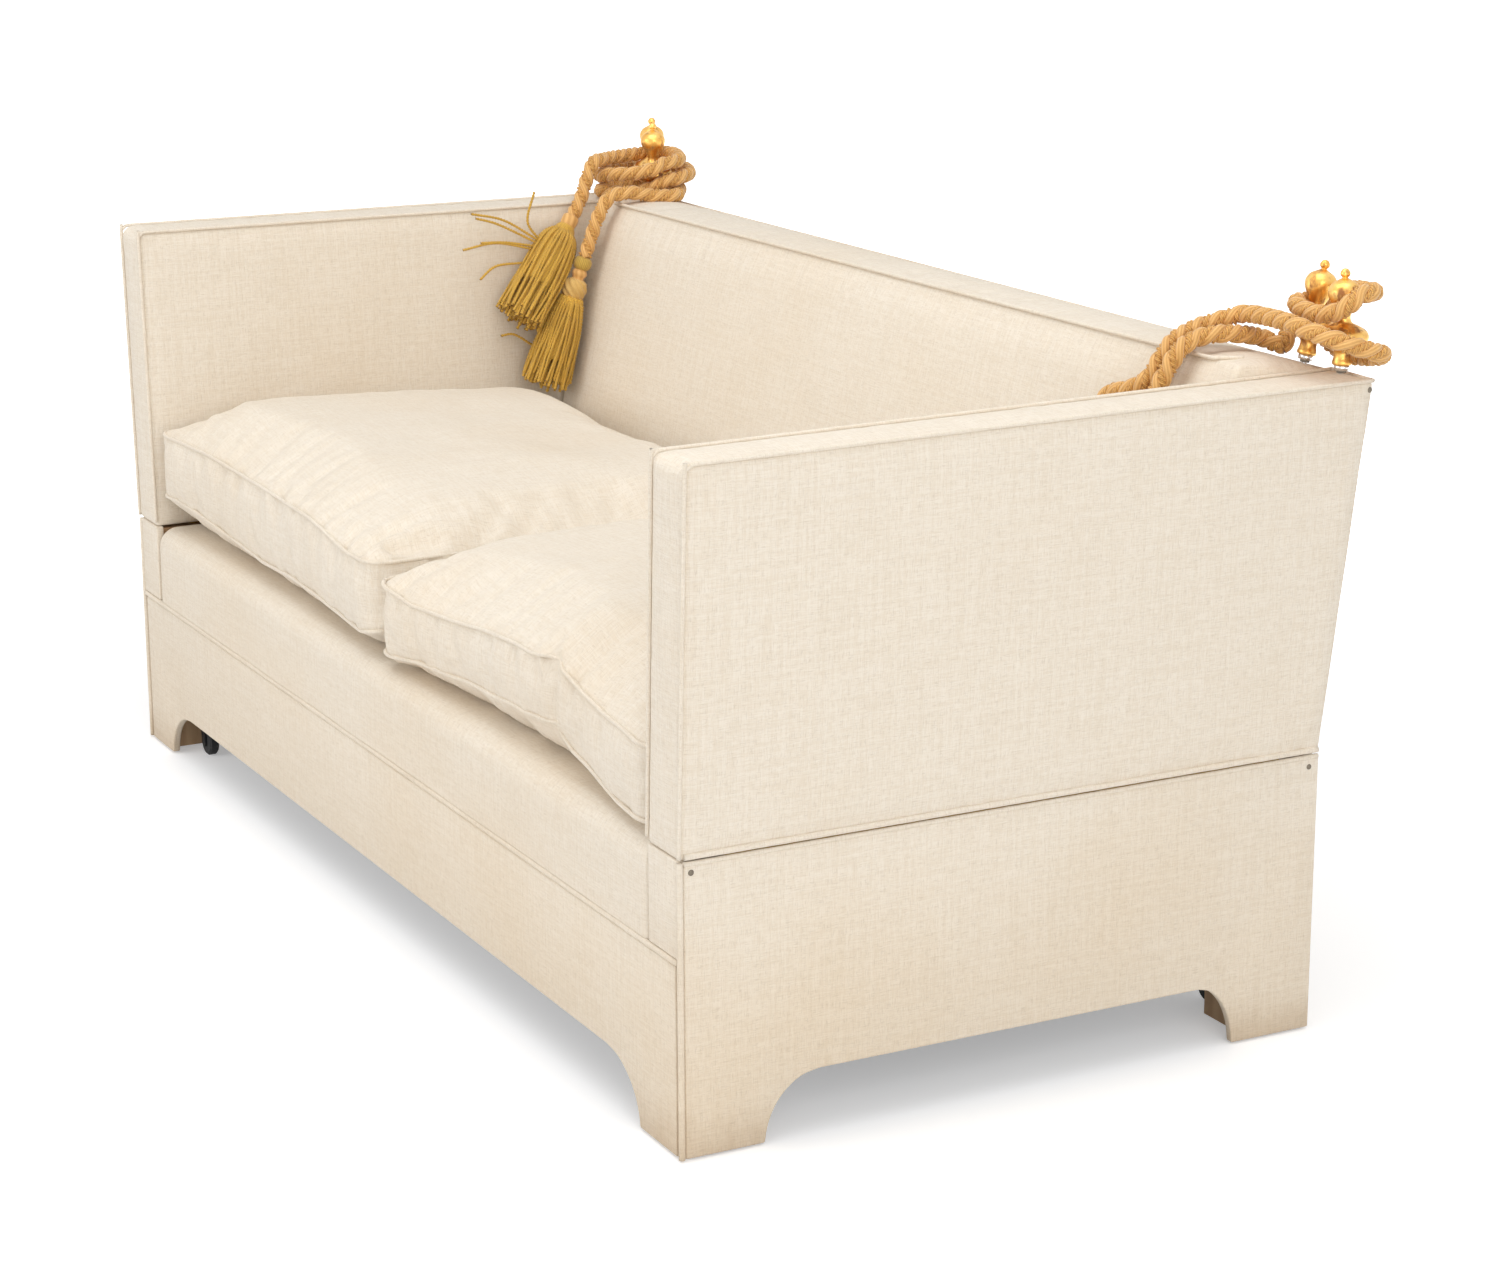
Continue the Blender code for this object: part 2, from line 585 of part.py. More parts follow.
def cushion(name, left, right):
    """A crowned feather cushion: flat where it lies on the platform, waisted at its border."""
    near = FRONT + CUSHION_SETBACK
    outline = cushion_outline(left, right, near, near + CUSHION_DEPTH)
    half = Vector(((right - left) / 2, CUSHION_DEPTH / 2))
    centre = Vector((left, near)) + half
    foot = SEAM_HEIGHT + GAP
    usual_low = foot + CUSHION_LOW_EDGE
    shares, low_lifts, top_lifts = zip(*CUSHION_SEAMS[name])

    def ring(share, level, rise=0.0):
        """One row of points: level 0 is the lower seam and 1 the upper, and below 0 the foot turns under."""
        row = []
        for p in outline:
            reach = Vector((abs(p.x - centre.x) / half.x, abs(p.y - centre.y) / half.y))
            spot = centre + (p - centre) * share * (1 - (1 - share) * (reach.length - 1))
            fade = 1 - min(1.0, (spot.y - near) / CUSHION_DEPTH / CUSHION_SEAM_FADE)
            across = (spot.x - left) / (right - left)
            low = usual_low + fade * float(np.interp(across, shares, low_lifts))
            high = usual_low + CUSHION_BORDER + fade * float(np.interp(across, shares, top_lifts))
            crown = CUSHION_CROWN * rise
            for part, size in zip(reach / max(reach), half):
                crown *= 1 - math.exp(-size * (1 - share * part) / CUSHION_SHOULDER)
            height = foot + (low - foot) * (1 + level) if level < 0 else low + (high - low) * level
            row.append(bm.verts.new((*spot, height + crown)))
        return row

    bm = bmesh.new()
    loops = [ring(share, -fall) for share, fall in reversed(CUSHION_FOOT_SHARES)]
    loops += [ring(1, 0), ring(1 - 2 * CUSHION_WAIST / CUSHION_DEPTH, 1 / 2), ring(1, 1)]
    loops += [ring(share, 1, 1) for share in CUSHION_TOP_SHARES]
    for lower, upper in zip(loops, loops[1:]):
        for k in range(len(outline)):
            n = (k + 1) % len(outline)
            bm.faces.new((lower[k], lower[n], upper[n], upper[k]))
    for loop, rise in ((loops[0], 0), (loops[-1], CUSHION_CROWN_FLAT)):
        hub = bm.verts.new((*centre, sum(v.co.z for v in loop) / len(loop) + rise))
        for k in range(len(outline)):
            bm.faces.new((loop[k], loop[(k + 1) % len(outline)], hub))
    solid(name, bm, LINEN, smooth=50)


# Arms


def arm_at(share, side, height):
    """X of the arm at a height, from its inner face (share 0) to its outer face (share 1)."""
    rise = (height - ARM_BOTTOM) / (ARM_REAR_TOP - ARM_BOTTOM)
    outer = HALF + ARM_LEAN * rise
    return side * (outer - (ARM_THICK + ARM_THICKEN * rise) * (1 - share))


def leaning_panel(outline, side, inner, outer):
    """An outline of the arm's side view, made solid between two shares of its thickness."""
    bm = prism(outline, X, -1, 1)
    for v in bm.verts:
        v.co.x = arm_at(outer if v.co.x > 0 else inner, side, v.co.z)
    return bm


def arm_side_view(name, inset, foot, corner, steps):
    """Side view of an arm, a distance inside its edges, down to a given height."""
    rake = ARM_RAKE / (ARM_REAR_TOP - ARM_BOTTOM)
    front, front_top = FRONT + inset, ARM_FRONT_TOP - inset
    return [
        (front, foot),
        *arc((front + corner, front_top - corner), corner, 180, 90, steps),
        *((REAR - inset + rake * (z - ARM_BOTTOM), z) for z in (ARM_REAR_TOPS[name] - inset, foot)),
    ]


FRAME_SHARE = ARM_FRAME / ARM_THICK / 2
FRAME_GAP_SHARE = GAP / ARM_THICK


def arm(name, side):
    """One arm: its timber frame, the padded linen over it, and the piping round its edges."""
    cover_view = arm_side_view(name, 0, ARM_BOTTOM, ARM_ROUND, 3)
    cover = solid(f"{name}_arm_cover", leaning_panel(cover_view, side, 0, 1), LINEN)
    bevelled(cover, ARM_EDGE)
    slot_view = arm_side_view(name, ARM_FRAME_INSET - GAP, ARM_BOTTOM - OVERRUN, ARM_ROUND, 1)
    low, high = 0.5 - FRAME_SHARE, 0.5 + FRAME_SHARE
    slot = solid(
        f"{name}_arm_slot", leaning_panel(slot_view, side, low - FRAME_GAP_SHARE, high + FRAME_GAP_SHARE)
    )
    frame_view = arm_side_view(name, ARM_FRAME_INSET, ARM_BOTTOM, ARM_ROUND, 1)
    frame = solid(f"{name}_arm_frame", leaning_panel(frame_view, side, low, high), BEECH)
    for purpose, whole, gap in (("window", frame, 0), ("window_filling", slot, GAP)):
        inset, foot = ARM_FRAME_INSET + ARM_FRAME_RAIL + gap, ARM_BOTTOM + ARM_FRAME_RAIL + gap
        window = leaning_panel(arm_side_view(name, inset, foot, ARM_ROUND, 1), side, 0, 1)
        combined(whole, solid(f"{name}_arm_{purpose}", window))
    combined(cover, slot)
    foot = ARM_BOTTOM + ARM_PIPING_FOOT
    view = arm_side_view(name, 0, foot, PIPING_ROUND, 4)[:-1]
    outer = [(arm_at(1, side, z), y, z) for y, z in view]
    inner = [(arm_at(0, side, z), y, z) for y, z in reversed(view)]
    across = [(x, y - PIPING_CORNER, z) for x, y, z in (outer[-1], inner[0])]
    turn = [(x - side * way * PIPING_CORNER, y, z) for (x, y, z), way in ((outer[-1], 1), (inner[0], -1))]
    tube(
        f"{name}_arm_piping",
        outer[:-1] + [across[0]] + turn + [across[1]] + inner[1:],
        ARM_PIPING,
        LINEN,
        rounds=1,
    )
    return cover, frame


# Hinges

HINGE_NEAR = FRONT + HINGE_MARGIN
HINGE_FAR = REAR - HINGE_MARGIN


def leaf(name, side, low, high, places):
    """One leaf of a long hinge, with its knuckles at the given places along the pin."""
    edge = HINGE_X - KNUCKLE - GAP
    limits = sorted((side * edge, side * (edge - LEAF_WIDTH)))
    plate = solid(name, block(limits, (HINGE_NEAR, HINGE_FAR), (low, high)), BRASS)
    middle = (low + high) / 2
    for number, (near, far) in enumerate(places):
        limits = sorted((side * (edge - KNUCKLE), side * HINGE_X))
        reach = (middle - GAP, HINGE_Z) if middle < HINGE_Z else (HINGE_Z, middle + GAP)
        tab = solid(f"{name}_tab_{number}", block(limits, (near, far), reach))
        barrel = cylinder(KNUCKLE, (side * HINGE_X, near, HINGE_Z), (side * HINGE_X, far, HINGE_Z), SCREW_STEPS)
        combined(plate, tab, "UNION")
        combined(plate, solid(f"{name}_knuckle_{number}", barrel), "UNION")
    return plate


def hinge(name, side):
    """A long hinge at the outer edge of the seam. The pin is riveted into the base leaf's knuckles."""
    pitch = (HINGE_FAR - HINGE_NEAR) / KNUCKLES
    places = [
        (HINGE_NEAR + pitch * k + KNUCKLE_GAP, HINGE_NEAR + pitch * (k + 1) - KNUCKLE_GAP) for k in range(KNUCKLES)
    ]
    base = leaf(f"{name}_hinge_base_leaf", side, HINGE_SEAT + GAP, HINGE_SEAT + GAP + LEAF, places[0::2])
    upper = leaf(f"{name}_hinge_arm_leaf", side, ARM_BOTTOM - GAP - LEAF, ARM_BOTTOM - GAP, places[1::2])
    ends = [(side * HINGE_X, y, HINGE_Z) for y in (HINGE_NEAR + pitch / 2, HINGE_FAR - pitch / 2)]
    combined(base, solid(f"{name}_hinge_pin", cylinder(PIN, *ends, SCREW_STEPS)), "UNION")
    combined(upper, solid(f"{name}_hinge_bore", cylinder(KNUCKLE_BORE, *ends, SCREW_STEPS)))


# Back


def back_half(height):
    """Half of the back's width at a height, so that it clears both leaning arms."""
    return arm_at(0, RIGHT, height) - BACK_END_GAP


BACK_FRAME_HALF = back_half(ARM_BOTTOM) - BACK_FRAME_INSET


def crest(share):
    """Height of the front top edge at a share of the half width."""
    return BACK_CREST + BACK_CREST_TILT * share


def rear_top(share):
    """Height of the rear top edge at a share of the half width."""
    return BACK_REAR_TOP + BACK_REAR_TILT * share


def back_section(share):
    """Side view of the back at a share of its half width."""
    top, rear = crest(share), rear_top(share)
    rake = ARM_RAKE / (ARM_REAR_TOP - ARM_BOTTOM)
    middle = ((ARM_RAKE - BACK_TOP_DEPTH) / 2, (top + rear) / 2 + BACK_TOP_SWELL)
    view = [
        (0, ARM_BOTTOM),
        (rake * (rear - ARM_BOTTOM), rear),
        middle,
        (-BACK_TOP_DEPTH, top),
        (-BACK_MIDDLE[0], BACK_MIDDLE[1]),
        (-BACK_FOOT_DEPTH, ARM_BOTTOM),
    ]
    return [(REAR + y, z) for y, z in view]


def back_cover():
    """The upholstered back, lofted from end to end, with a slot for its frame."""
    bm = bmesh.new()
    rings = []
    for share in BACK_STATION_SHARES:
        rings.append([bm.verts.new((share * back_half(z), y, z)) for y, z in back_section(share)])
    for first, second in zip(rings, rings[1:]):
        for k in range(len(first)):
            n = (k + 1) % len(first)
            bm.faces.new((first[k], first[n], second[n], second[k]))
    bm.faces.new(rings[0])
    bm.faces.new(rings[-1])
    cover = bevelled(solid("back_cover", bm, LINEN, smooth=40), BACK_EDGE)
    slot_view = back_frame_view(GAP, ARM_BOTTOM - OVERRUN)
    slot = solid("back_slot", prism(slot_view, X, -BACK_FRAME_HALF - GAP, BACK_FRAME_HALF + GAP))
    combined(slot, back_window("back_window_filling", GAP))
    return combined(cover, slot)


def back_window(name, gap):
    """What is cut from the back's frame to open it, a gap smaller where the padding fills it."""
    half = BACK_FRAME_HALF - BACK_FRAME_RAIL - gap
    depth = (REAR - BACK_FRAME_COVER - BACK_FRAME - OVERRUN, REAR + ARM_RAKE)
    heights = (ARM_BOTTOM + BACK_FRAME_RAIL + gap, BACK_FRAME_TOP - BACK_FRAME_RAIL - gap)
    return solid(name, block((-half, half), depth, heights))


def back_frame_view(margin, foot):
    """Side view of the raked frame inside the back, with a margin all round."""
    rake = ARM_RAKE / (ARM_REAR_TOP - ARM_BOTTOM)
    rear, top = REAR - BACK_FRAME_COVER, BACK_FRAME_TOP + margin
    lean_foot, lean_top = rake * (foot - ARM_BOTTOM), rake * (top - ARM_BOTTOM)
    return [
        (rear + margin + lean_foot, foot),
        (rear + margin + lean_top, top),
        (rear - BACK_FRAME - margin + lean_top, top),
        (rear - BACK_FRAME - margin + lean_foot, foot),
    ]


def back_frame():
    """Two uprights and two rails, glued up as one frame that stands on the back rail."""
    view = back_frame_view(0, RAIL_TOP + GAP)
    frame = solid("back_frame", prism(view, X, -BACK_FRAME_HALF, BACK_FRAME_HALF), BEECH)
    return combined(frame, back_window("back_window", 0))


def back_piping():
    """Piping along the front top edge, whose ends curl back."""
    line = []
    for share in BACK_STATION_SHARES[1:-1]:
        height = crest(share)
        line.append((share * back_half(height), REAR - BACK_TOP_DEPTH, height))
    ends = []
    for x, y, z in (line[0], line[-1]):
        side = math.copysign(1, x)
        z += CURL_LIFT
        ends.append([(x + side * CURL / 2, y + CURL / 6, z), (x + side * CURL, y + CURL / 2, z)])
    tube("back_piping", ends[0][::-1] + line + ends[1], ARM_PIPING, LINEN, rounds=1)


# Finials


def cloth_height(key, y):
    """Height of the cloth under a finial."""
    if key.endswith("arm"):
        rise = ARM_REAR_TOPS[key.split("_")[0]] - ARM_FRONT_TOP
        return ARM_FRONT_TOP + rise * (y - FRONT) / (BASE_DEPTH + ARM_RAKE)
    share = (HALF - FINIAL_PLACES[key][0]) / back_half(ARM_REAR_TOP)
    share = -share if key.startswith("left") else share
    rear = rear_top(share)
    middle_height = (crest(share) + rear) / 2 + BACK_TOP_SWELL
    middle = REAR + (ARM_RAKE - BACK_TOP_DEPTH) / 2
    end = REAR + ARM_RAKE
    return middle_height + (rear - middle_height) * max(0.0, y - middle) / (end - middle)


def finial_axis(key):
    """Foot of a finial on the cloth, and the way it points."""
    inset, beyond, lift = FINIAL_PLACES[key]
    side = LEFT if key.startswith("left") else RIGHT
    lean = math.radians(FINIAL_LEANS.get(key, 0))
    foot = Vector((side * (HALF - inset), REAR + beyond, cloth_height(key, REAR + beyond) + lift))
    return foot, Vector((0, math.sin(lean), math.cos(lean)))


def finial(key, hosts):
    """A turned finial and its screw, with bores for the screw in the finial and in what carries it."""
    foot, way = finial_axis(key)
    stand = Matrix.Translation(foot) @ way.to_track_quat("Z", "Y").to_matrix().to_4x4()
    outline = list(FINIAL_OUTLINE)
    outline.append((0.0, outline[-1][1]))
    bm = turned(outline, FINIAL_STEPS)
    bmesh.ops.transform(bm, matrix=stand, verts=bm.verts[:])
    body = solid(f"{key}_finial", bm, GILT, smooth=40)
    blind = cylinder(FINIAL_BORE, foot - way * OVERRUN, foot + way * FINIAL_BORE_TOP, SCREW_STEPS)
    combined(body, solid(f"{key}_finial_bore", blind))
    ends = (foot - way * SCREW_DEPTH, foot + way * SCREW_TOP)
    solid(f"{key}_finial_screw", cylinder(SCREW, *ends, SCREW_STEPS), STEEL, smooth=40)
    for number, host in enumerate(hosts):
        hole = cylinder(FINIAL_BORE, foot - way * (SCREW_DEPTH + GAP), foot + way * OVERRUN, SCREW_STEPS)
        combined(host, solid(f"{key}_screw_hole_{number}", hole))


# Ropes and tassels


def clearance(height):
    """How far from a finial's axis the rope's middle lies when it touches the finial at a height."""
    reach = FINIAL_BORE
    for (r0, h0), (r1, h1) in zip(FINIAL_OUTLINE, FINIAL_OUTLINE[1:]):
        for t in np.linspace(0.0, 1.0, 6):
            away = h0 + (h1 - h0) * t - height
            if abs(away) < ROPE:
                reach = max(reach, r0 + (r1 - r0) * t + math.sqrt(ROPE**2 - away**2))
    return reach + ROPE_SLACK


def loops(corner, places, nose=None):
    """The rope's turns round both finials of a corner.

    Each point lies on the smooth band that a taut rope makes round the finials, at the distance where
    the rope clears them at that height. The turns run from the front by the outer side to the rear.
    """
    side = LEFT if corner == "left" else RIGHT
    axes = [finial_axis(f"{corner}_arm"), finial_axis(f"{corner}_back")]
    heights, slacks = zip(*places)
    count = round(LOOP_POINTS * (len(places) - 1) / LOOP_PLACES)
    points = []
    for k in range(count + 1):
        place = k * LOOP_PLACES / LOOP_POINTS
        height = axes[0][0].z + float(np.interp(place, range(len(places)), heights))
        slack = float(np.interp(place, range(len(places)), slacks))
        turn = math.tau * k / LOOP_POINTS
        ahead = Vector((side * math.sin(turn), -math.cos(turn)))
        sideways = Vector((side * math.cos(turn), math.sin(turn)))
        pulls = []
        for foot, way in axes:
            along = (height - foot.z) / way.z
            pulls.append(((foot + way * along).xy, clearance(along) + slack))
        if nose:
            pulls.append((Vector((side * (HALF - nose[0]), REAR - nose[1])), LEFT_NOSE_ROUND))
        reaches = [centre @ ahead + radius for centre, radius in pulls]
        furthest = max(reaches)
        weights = [math.exp((reach - furthest) / LOOP_EASE) for reach in reaches]
        total = sum(weights)
        reach = furthest + math.log(total) * LOOP_EASE
        slip = sum(w * (centre @ sideways) for w, (centre, _) in zip(weights, pulls)) / total
        points.append((*(ahead * reach + sideways * slip), height))
    return points


def tail(side, points):
    """A tail's points in the sofa's own frame."""
    return [(side * (HALF - x), REAR - y, z) for x, y, z in points]


def closest_gap(points, radius):
    """The least clear distance between two stretches of a tube that are not neighbours along it."""
    fine = spaced(points, radius / 2)
    apart = math.ceil(4 * radius / (radius / 2))
    best = math.inf
    for k in range(len(fine) - apart):
        away = np.linalg.norm(fine[k + apart :] - fine[k], axis=1)
        best = min(best, float(away.min()))
    return best - 2 * radius


def rope(corner, winding, first, last):
    """One corner's rope: a tail, the turns round the finials and the other tail, cut where a tail ends."""
    side = LEFT if corner == "left" else RIGHT
    names = (first[0], f"{corner}_rope_winding", last[0])
    route = tail(side, reversed(first[1])) + winding + tail(side, last[1])
    counts = (len(first[1]), len(winding), len(last[1]))
    fine = 12
    smooth = curved(route, fine)
    cuts = (0, counts[0] * fine, (counts[0] + counts[1] - 1) * fine, len(smooth) - 1)
    print(corner, "rope: least gap to itself", round(closest_gap(smooth, ROPE) * 1000, 2), "mm")
    ends = []
    for index, name in enumerate(names):
        start, end = cuts[index], cuts[index + 1]
        piece = list(spaced(smooth[start : end + 1], LOOP_STEP if index == 1 else TAIL_STEP))
        if index > 0:
            way = smooth[start + 1] - smooth[start - 1]
            way /= np.linalg.norm(way)
            piece[0:1] = [smooth[start] + way * GAP / 2, smooth[start] + way * ROPE]
        if index < 2:
            way = smooth[end + 1] - smooth[end - 1]
            way /= np.linalg.norm(way)
            piece[-1:] = [smooth[end] - way * ROPE, smooth[end] - way * GAP / 2]
        print(name, "length", round(float(np.linalg.norm(np.diff(piece, axis=0), axis=1).sum()), 3), "m")
        tube(name, piece, ROPE, ROPE_GOLD, rounds=1 if index == 1 else 2)
        if index != 1:
            tip, before = (piece[0], piece[1]) if index == 0 else (piece[-1], piece[-2])
            ends.append((Vector(tip), Vector(tip - before).normalized()))
    return ends


def tassel(name, outline, end, way):
    """A tassel that goes on from a rope's end, with a fluted skirt."""
    steps = 2 * TASSEL_FLUTES
    bm = turned(outline, steps)
    for v in bm.verts:
        turn = round(math.atan2(v.co.y, v.co.x) / math.tau * steps)
        if v.co.z > outline[-1][1] / 2 and turn % 2:
            v.co.xy *= TASSEL_FLUTE_SHARE
    stand = Matrix.Translation(end + way * GAP) @ way.to_track_quat("Z", "Y").to_matrix().to_4x4()
    bmesh.ops.transform(bm, matrix=stand, verts=bm.verts[:])
    solid(name, bm, TASSEL_GOLD, smooth=30)


# Castors


def castor(end, name, side):
    """A stem castor: its fork with the axle, and its wheel, trailing towards the middle of the sofa."""
    key = f"{end}_{name}"
    x, y = side * CASTOR_X, CASTOR_YS[end]
    wheel_x = x - side * TRAIL
    half = WHEEL_WIDTH / 2 + CHEEK_GAP
    limits = sorted((x + side * STEM, wheel_x - side * STEM))
    fork = solid(
        f"{key}_castor_fork",
        block(limits, (y - half - CHEEK, y + half + CHEEK), (FORK_TOP - FORK_PLATE, FORK_TOP)),
        BLACK_IRON,
    )
    for number, way in enumerate((-1, 1)):
        outline = [
            (wheel_x - side * 2 * AXLE, WHEEL - 2 * AXLE),
            (wheel_x + side * 2 * AXLE, WHEEL - 2 * AXLE),
            (x + side * STEM, FORK_TOP - FORK_PLATE / 2),
            (wheel_x - side * STEM, FORK_TOP - FORK_PLATE / 2),
        ]
        cheek = prism(outline, Y, y + way * half, y + way * (half + CHEEK))
        combined(fork, solid(f"{key}_cheek_{number}", cheek), "UNION")
    parts = (
        ("axle", AXLE, (wheel_x, y - half - CHEEK / 2, WHEEL), (wheel_x, y + half + CHEEK / 2, WHEEL)),
        ("housing", HOUSING, (x, y, FORK_TOP - FORK_PLATE / 2), (x, y, BLOCK_FOOT - GAP)),
        ("stem", STEM, (x, y, BLOCK_FOOT - FORK_PLATE), (x, y, STEM_TOP)),
    )
    for part, radius, start, stop in parts:
        combined(fork, solid(f"{key}_{part}", cylinder(radius, start, stop, SCREW_STEPS)), "UNION")
    low, high = -WHEEL_WIDTH / 2, WHEEL_WIDTH / 2
    tread = [
        (AXLE_BORE, low),
        (WHEEL - WHEEL_ROUND, low),
        (WHEEL, low + WHEEL_ROUND),
        (WHEEL, high - WHEEL_ROUND),
        (WHEEL - WHEEL_ROUND, high),
        (AXLE_BORE, high),
    ]
    bm = turned(tread, 2 * FINIAL_STEPS, closed=True)
    stand = Matrix.Translation((wheel_x, y, WHEEL)) @ Matrix.Rotation(math.pi / 2, 4, "X")
    bmesh.ops.transform(bm, matrix=stand, verts=bm.verts[:])
    solid(f"{key}_castor_wheel", bm, RUBBER, smooth=40)
    swivel = axis_empty(f"{key}_swivel_axis", (x, y, BLOCK_FOOT))
    spin = axis_empty(f"{key}_axle_axis", (wheel_x, y, WHEEL))
    carry(swivel, [f"{key}_castor_fork", spin.name])
    carry(spin, [f"{key}_castor_wheel"])


def axis_empty(name, place):
    """An empty on a joint's axis."""
    empty = bpy.data.objects.new(name, None)
    empty.location = place
    bpy.context.scene.collection.objects.link(empty)
    return empty


def carry(parent, names):
    """Parents objects without moving them."""
    bpy.context.view_layer.update()
    for name in names:
        child = bpy.data.objects[name]
        child.parent = parent
        child.matrix_parent_inverse = parent.matrix_world.inverted()


def sofa():
    """The whole sofa."""
    base_covers()
    base_piping()
    timber()
    bottom_cloth()
    seat_springs()
    seat_deck()
    edge = DECK_HALF - DECK_SIDE_GAP
    cushion("left_cushion", -edge, CUSHION_MEETING - CUSHION_GAP / 2)
    cushion("right_cushion", CUSHION_MEETING + CUSHION_GAP / 2, edge)
    cover, frame = back_cover(), back_frame()
    back_piping()
    for name, side in SIDES:
        arm_parts = arm(name, side)
        hinge(name, side)
        finial(f"{name}_arm", arm_parts)
        finial(f"{name}_back", (cover, frame))
        axis = axis_empty(f"{name}_arm_hinge_axis", (side * HINGE_X, 0, HINGE_Z))
        parts = ("arm_cover", "arm_frame", "arm_piping", "arm_finial", "arm_finial_screw", "hinge_arm_leaf")
        carry(axis, [f"{name}_{part}" for part in parts])
    front, back = rope(
        "left",
        loops("left", LEFT_LOOPS, LEFT_NOSE),
        ("left_front_tail", LEFT_FRONT_TAIL),
        ("left_back_tail", LEFT_BACK_TAIL),
    )
    tassel("left_front_tassel", WRAPPED_TASSEL_OUTLINE, *front)
    tassel("left_back_tassel", TASSEL_OUTLINE, *back)
    front, rear = rope(
        "right",
        loops("right", RIGHT_LOOPS),
        ("right_front_tail", RIGHT_FRONT_TAIL),
        ("right_rear_tail", RIGHT_REAR_TAIL),
    )
    tassel("right_front_tassel", TASSEL_OUTLINE, *front)
    tassel("right_rear_tassel", TASSEL_OUTLINE, *rear)
    for end in CASTOR_YS:
        for name, side in SIDES:
            castor(end, name, side)


sofa()
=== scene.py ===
"""Knole sofa in slubbed linen: padded panels, loose cushions, piping, gilt finials, rope and tassels.

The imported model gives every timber, hinge and castor its place. This file dresses it: each sub-assembly
is a class that builds its meshes on the CAD's own sizes and gives them their finishes.
"""

import logging
import math
from dataclasses import dataclass
from enum import Enum
from typing import Callable, Iterable, Sequence

import bmesh
import bpy
import numpy as np
from mathutils import Matrix, Vector, noise


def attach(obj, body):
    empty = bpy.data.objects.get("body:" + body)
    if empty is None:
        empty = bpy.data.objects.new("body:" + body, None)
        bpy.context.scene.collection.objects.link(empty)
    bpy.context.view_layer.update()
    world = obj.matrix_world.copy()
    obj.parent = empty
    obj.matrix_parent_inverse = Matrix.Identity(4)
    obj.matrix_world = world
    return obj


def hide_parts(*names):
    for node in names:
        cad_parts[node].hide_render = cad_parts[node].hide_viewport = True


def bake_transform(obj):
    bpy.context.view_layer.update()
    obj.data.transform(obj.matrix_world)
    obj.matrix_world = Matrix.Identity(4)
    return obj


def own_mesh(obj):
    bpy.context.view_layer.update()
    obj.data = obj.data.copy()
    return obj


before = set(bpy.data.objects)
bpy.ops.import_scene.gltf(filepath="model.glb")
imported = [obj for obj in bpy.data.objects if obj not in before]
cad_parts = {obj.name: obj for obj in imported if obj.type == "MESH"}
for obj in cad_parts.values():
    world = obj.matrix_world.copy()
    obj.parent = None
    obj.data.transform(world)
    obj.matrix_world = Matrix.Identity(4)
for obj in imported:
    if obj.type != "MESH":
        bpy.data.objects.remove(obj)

LOG = logging.getLogger("knole sofa")
Point = tuple[float, float, float]
Faces = list[tuple[int, ...]]
Outline = Sequence[tuple[float, float]]
Numbers = np.ndarray | float
Piece = bpy.types.Object
Socket = bpy.types.NodeSocket
Skin = tuple[np.ndarray, Faces, np.ndarray]
PIPE_SIDES = 10
PIPE_STEP = 0.006
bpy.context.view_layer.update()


# Sizes shared with the CAD, in metres


@dataclass(frozen=True)
class SofaSizes:
    """Driving sizes of the frame, repeated from the CAD."""

    half: float = 0.975
    depth: float = 0.900
    front: float = -0.495
    seam: float = 0.3711
    gap: float = 0.0003
    cover: float = 0.012
    border: float = 0.246
    foot: float = 0.003
    arm_thick: float = 0.082
    arm_lean: float = 0.0245
    arm_thicken: float = 0.002
    arm_front_top: float = 0.841
    arm_rear_top: float = 0.8475
    arm_rake: float = 0.043
    deck: float = 0.030
    hinge_seat: float = 0.3665
    arm_tops: tuple[float, float] = (0.8330, 0.8475)
    back_crest: float = 0.851
    crest_tilt: float = 0.0135
    back_rear_top: float = 0.8345
    rear_tilt: float = 0.0090
    back_top_depth: float = 0.100
    back_foot_depth: float = 0.210
    back_middle: tuple[float, float] = (0.149, 0.670)
    back_end_gap: float = 0.005

    @property
    def rear(self) -> float:
        """Y of the base's rear face."""
        return self.front + self.depth

    @property
    def arm_foot(self) -> float:
        """Height of the arms' lower edges."""
        return self.seam + self.gap

    @property
    def arm_inside(self) -> float:
        """Half of the width between the arms at the seam."""
        return self.half - self.arm_thick

    def arm_x(self, share: Numbers, height: Numbers) -> Numbers:
        """Distance of the arm from the middle, from its inner face (0) to its outer face (1)."""
        rise = (height - self.arm_foot) / (self.arm_rear_top - self.arm_foot)
        return self.half + self.arm_lean * rise - (self.arm_thick + self.arm_thicken * rise) * (1 - share)

    def arm_top(self, side: int, y: Numbers) -> Numbers:
        """Height of an arm's top at a depth."""
        share = (y - self.front) / (self.depth + self.arm_rake)
        return self.arm_front_top + (self.arm_tops[side > 0] - self.arm_front_top) * share

    def rear_y(self, height: Numbers) -> Numbers:
        """Y of the raked rear edge of the arms and back at a height."""
        rise = (height - self.arm_foot) / (self.arm_rear_top - self.arm_foot)
        return self.rear + self.arm_rake * rise

    @property
    def back_half(self) -> float:
        """Half width of the back at its top."""
        return float(self.arm_x(0, self.arm_rear_top)) - self.back_end_gap

    def crest(self, x: Numbers) -> Numbers:
        """Height of the back's front top edge, a little higher towards the right, as it has settled."""
        return self.back_crest + self.crest_tilt * x / self.back_half

    def rear_edge(self, x: Numbers) -> Numbers:
        """Height of the back's rear top edge."""
        return self.back_rear_top + self.rear_tilt * x / self.back_half


S = SofaSizes()


class Side(Enum):
    """The two ends of the sofa."""

    LEFT = -1
    RIGHT = 1

    @property
    def word(self) -> str:
        """The side's name in node and body names."""
        return self.name.lower()


# Mesh work


def deselect_all() -> None:
    """Leaves object mode tidy, with nothing selected."""
    bpy.ops.object.select_all(action="DESELECT")


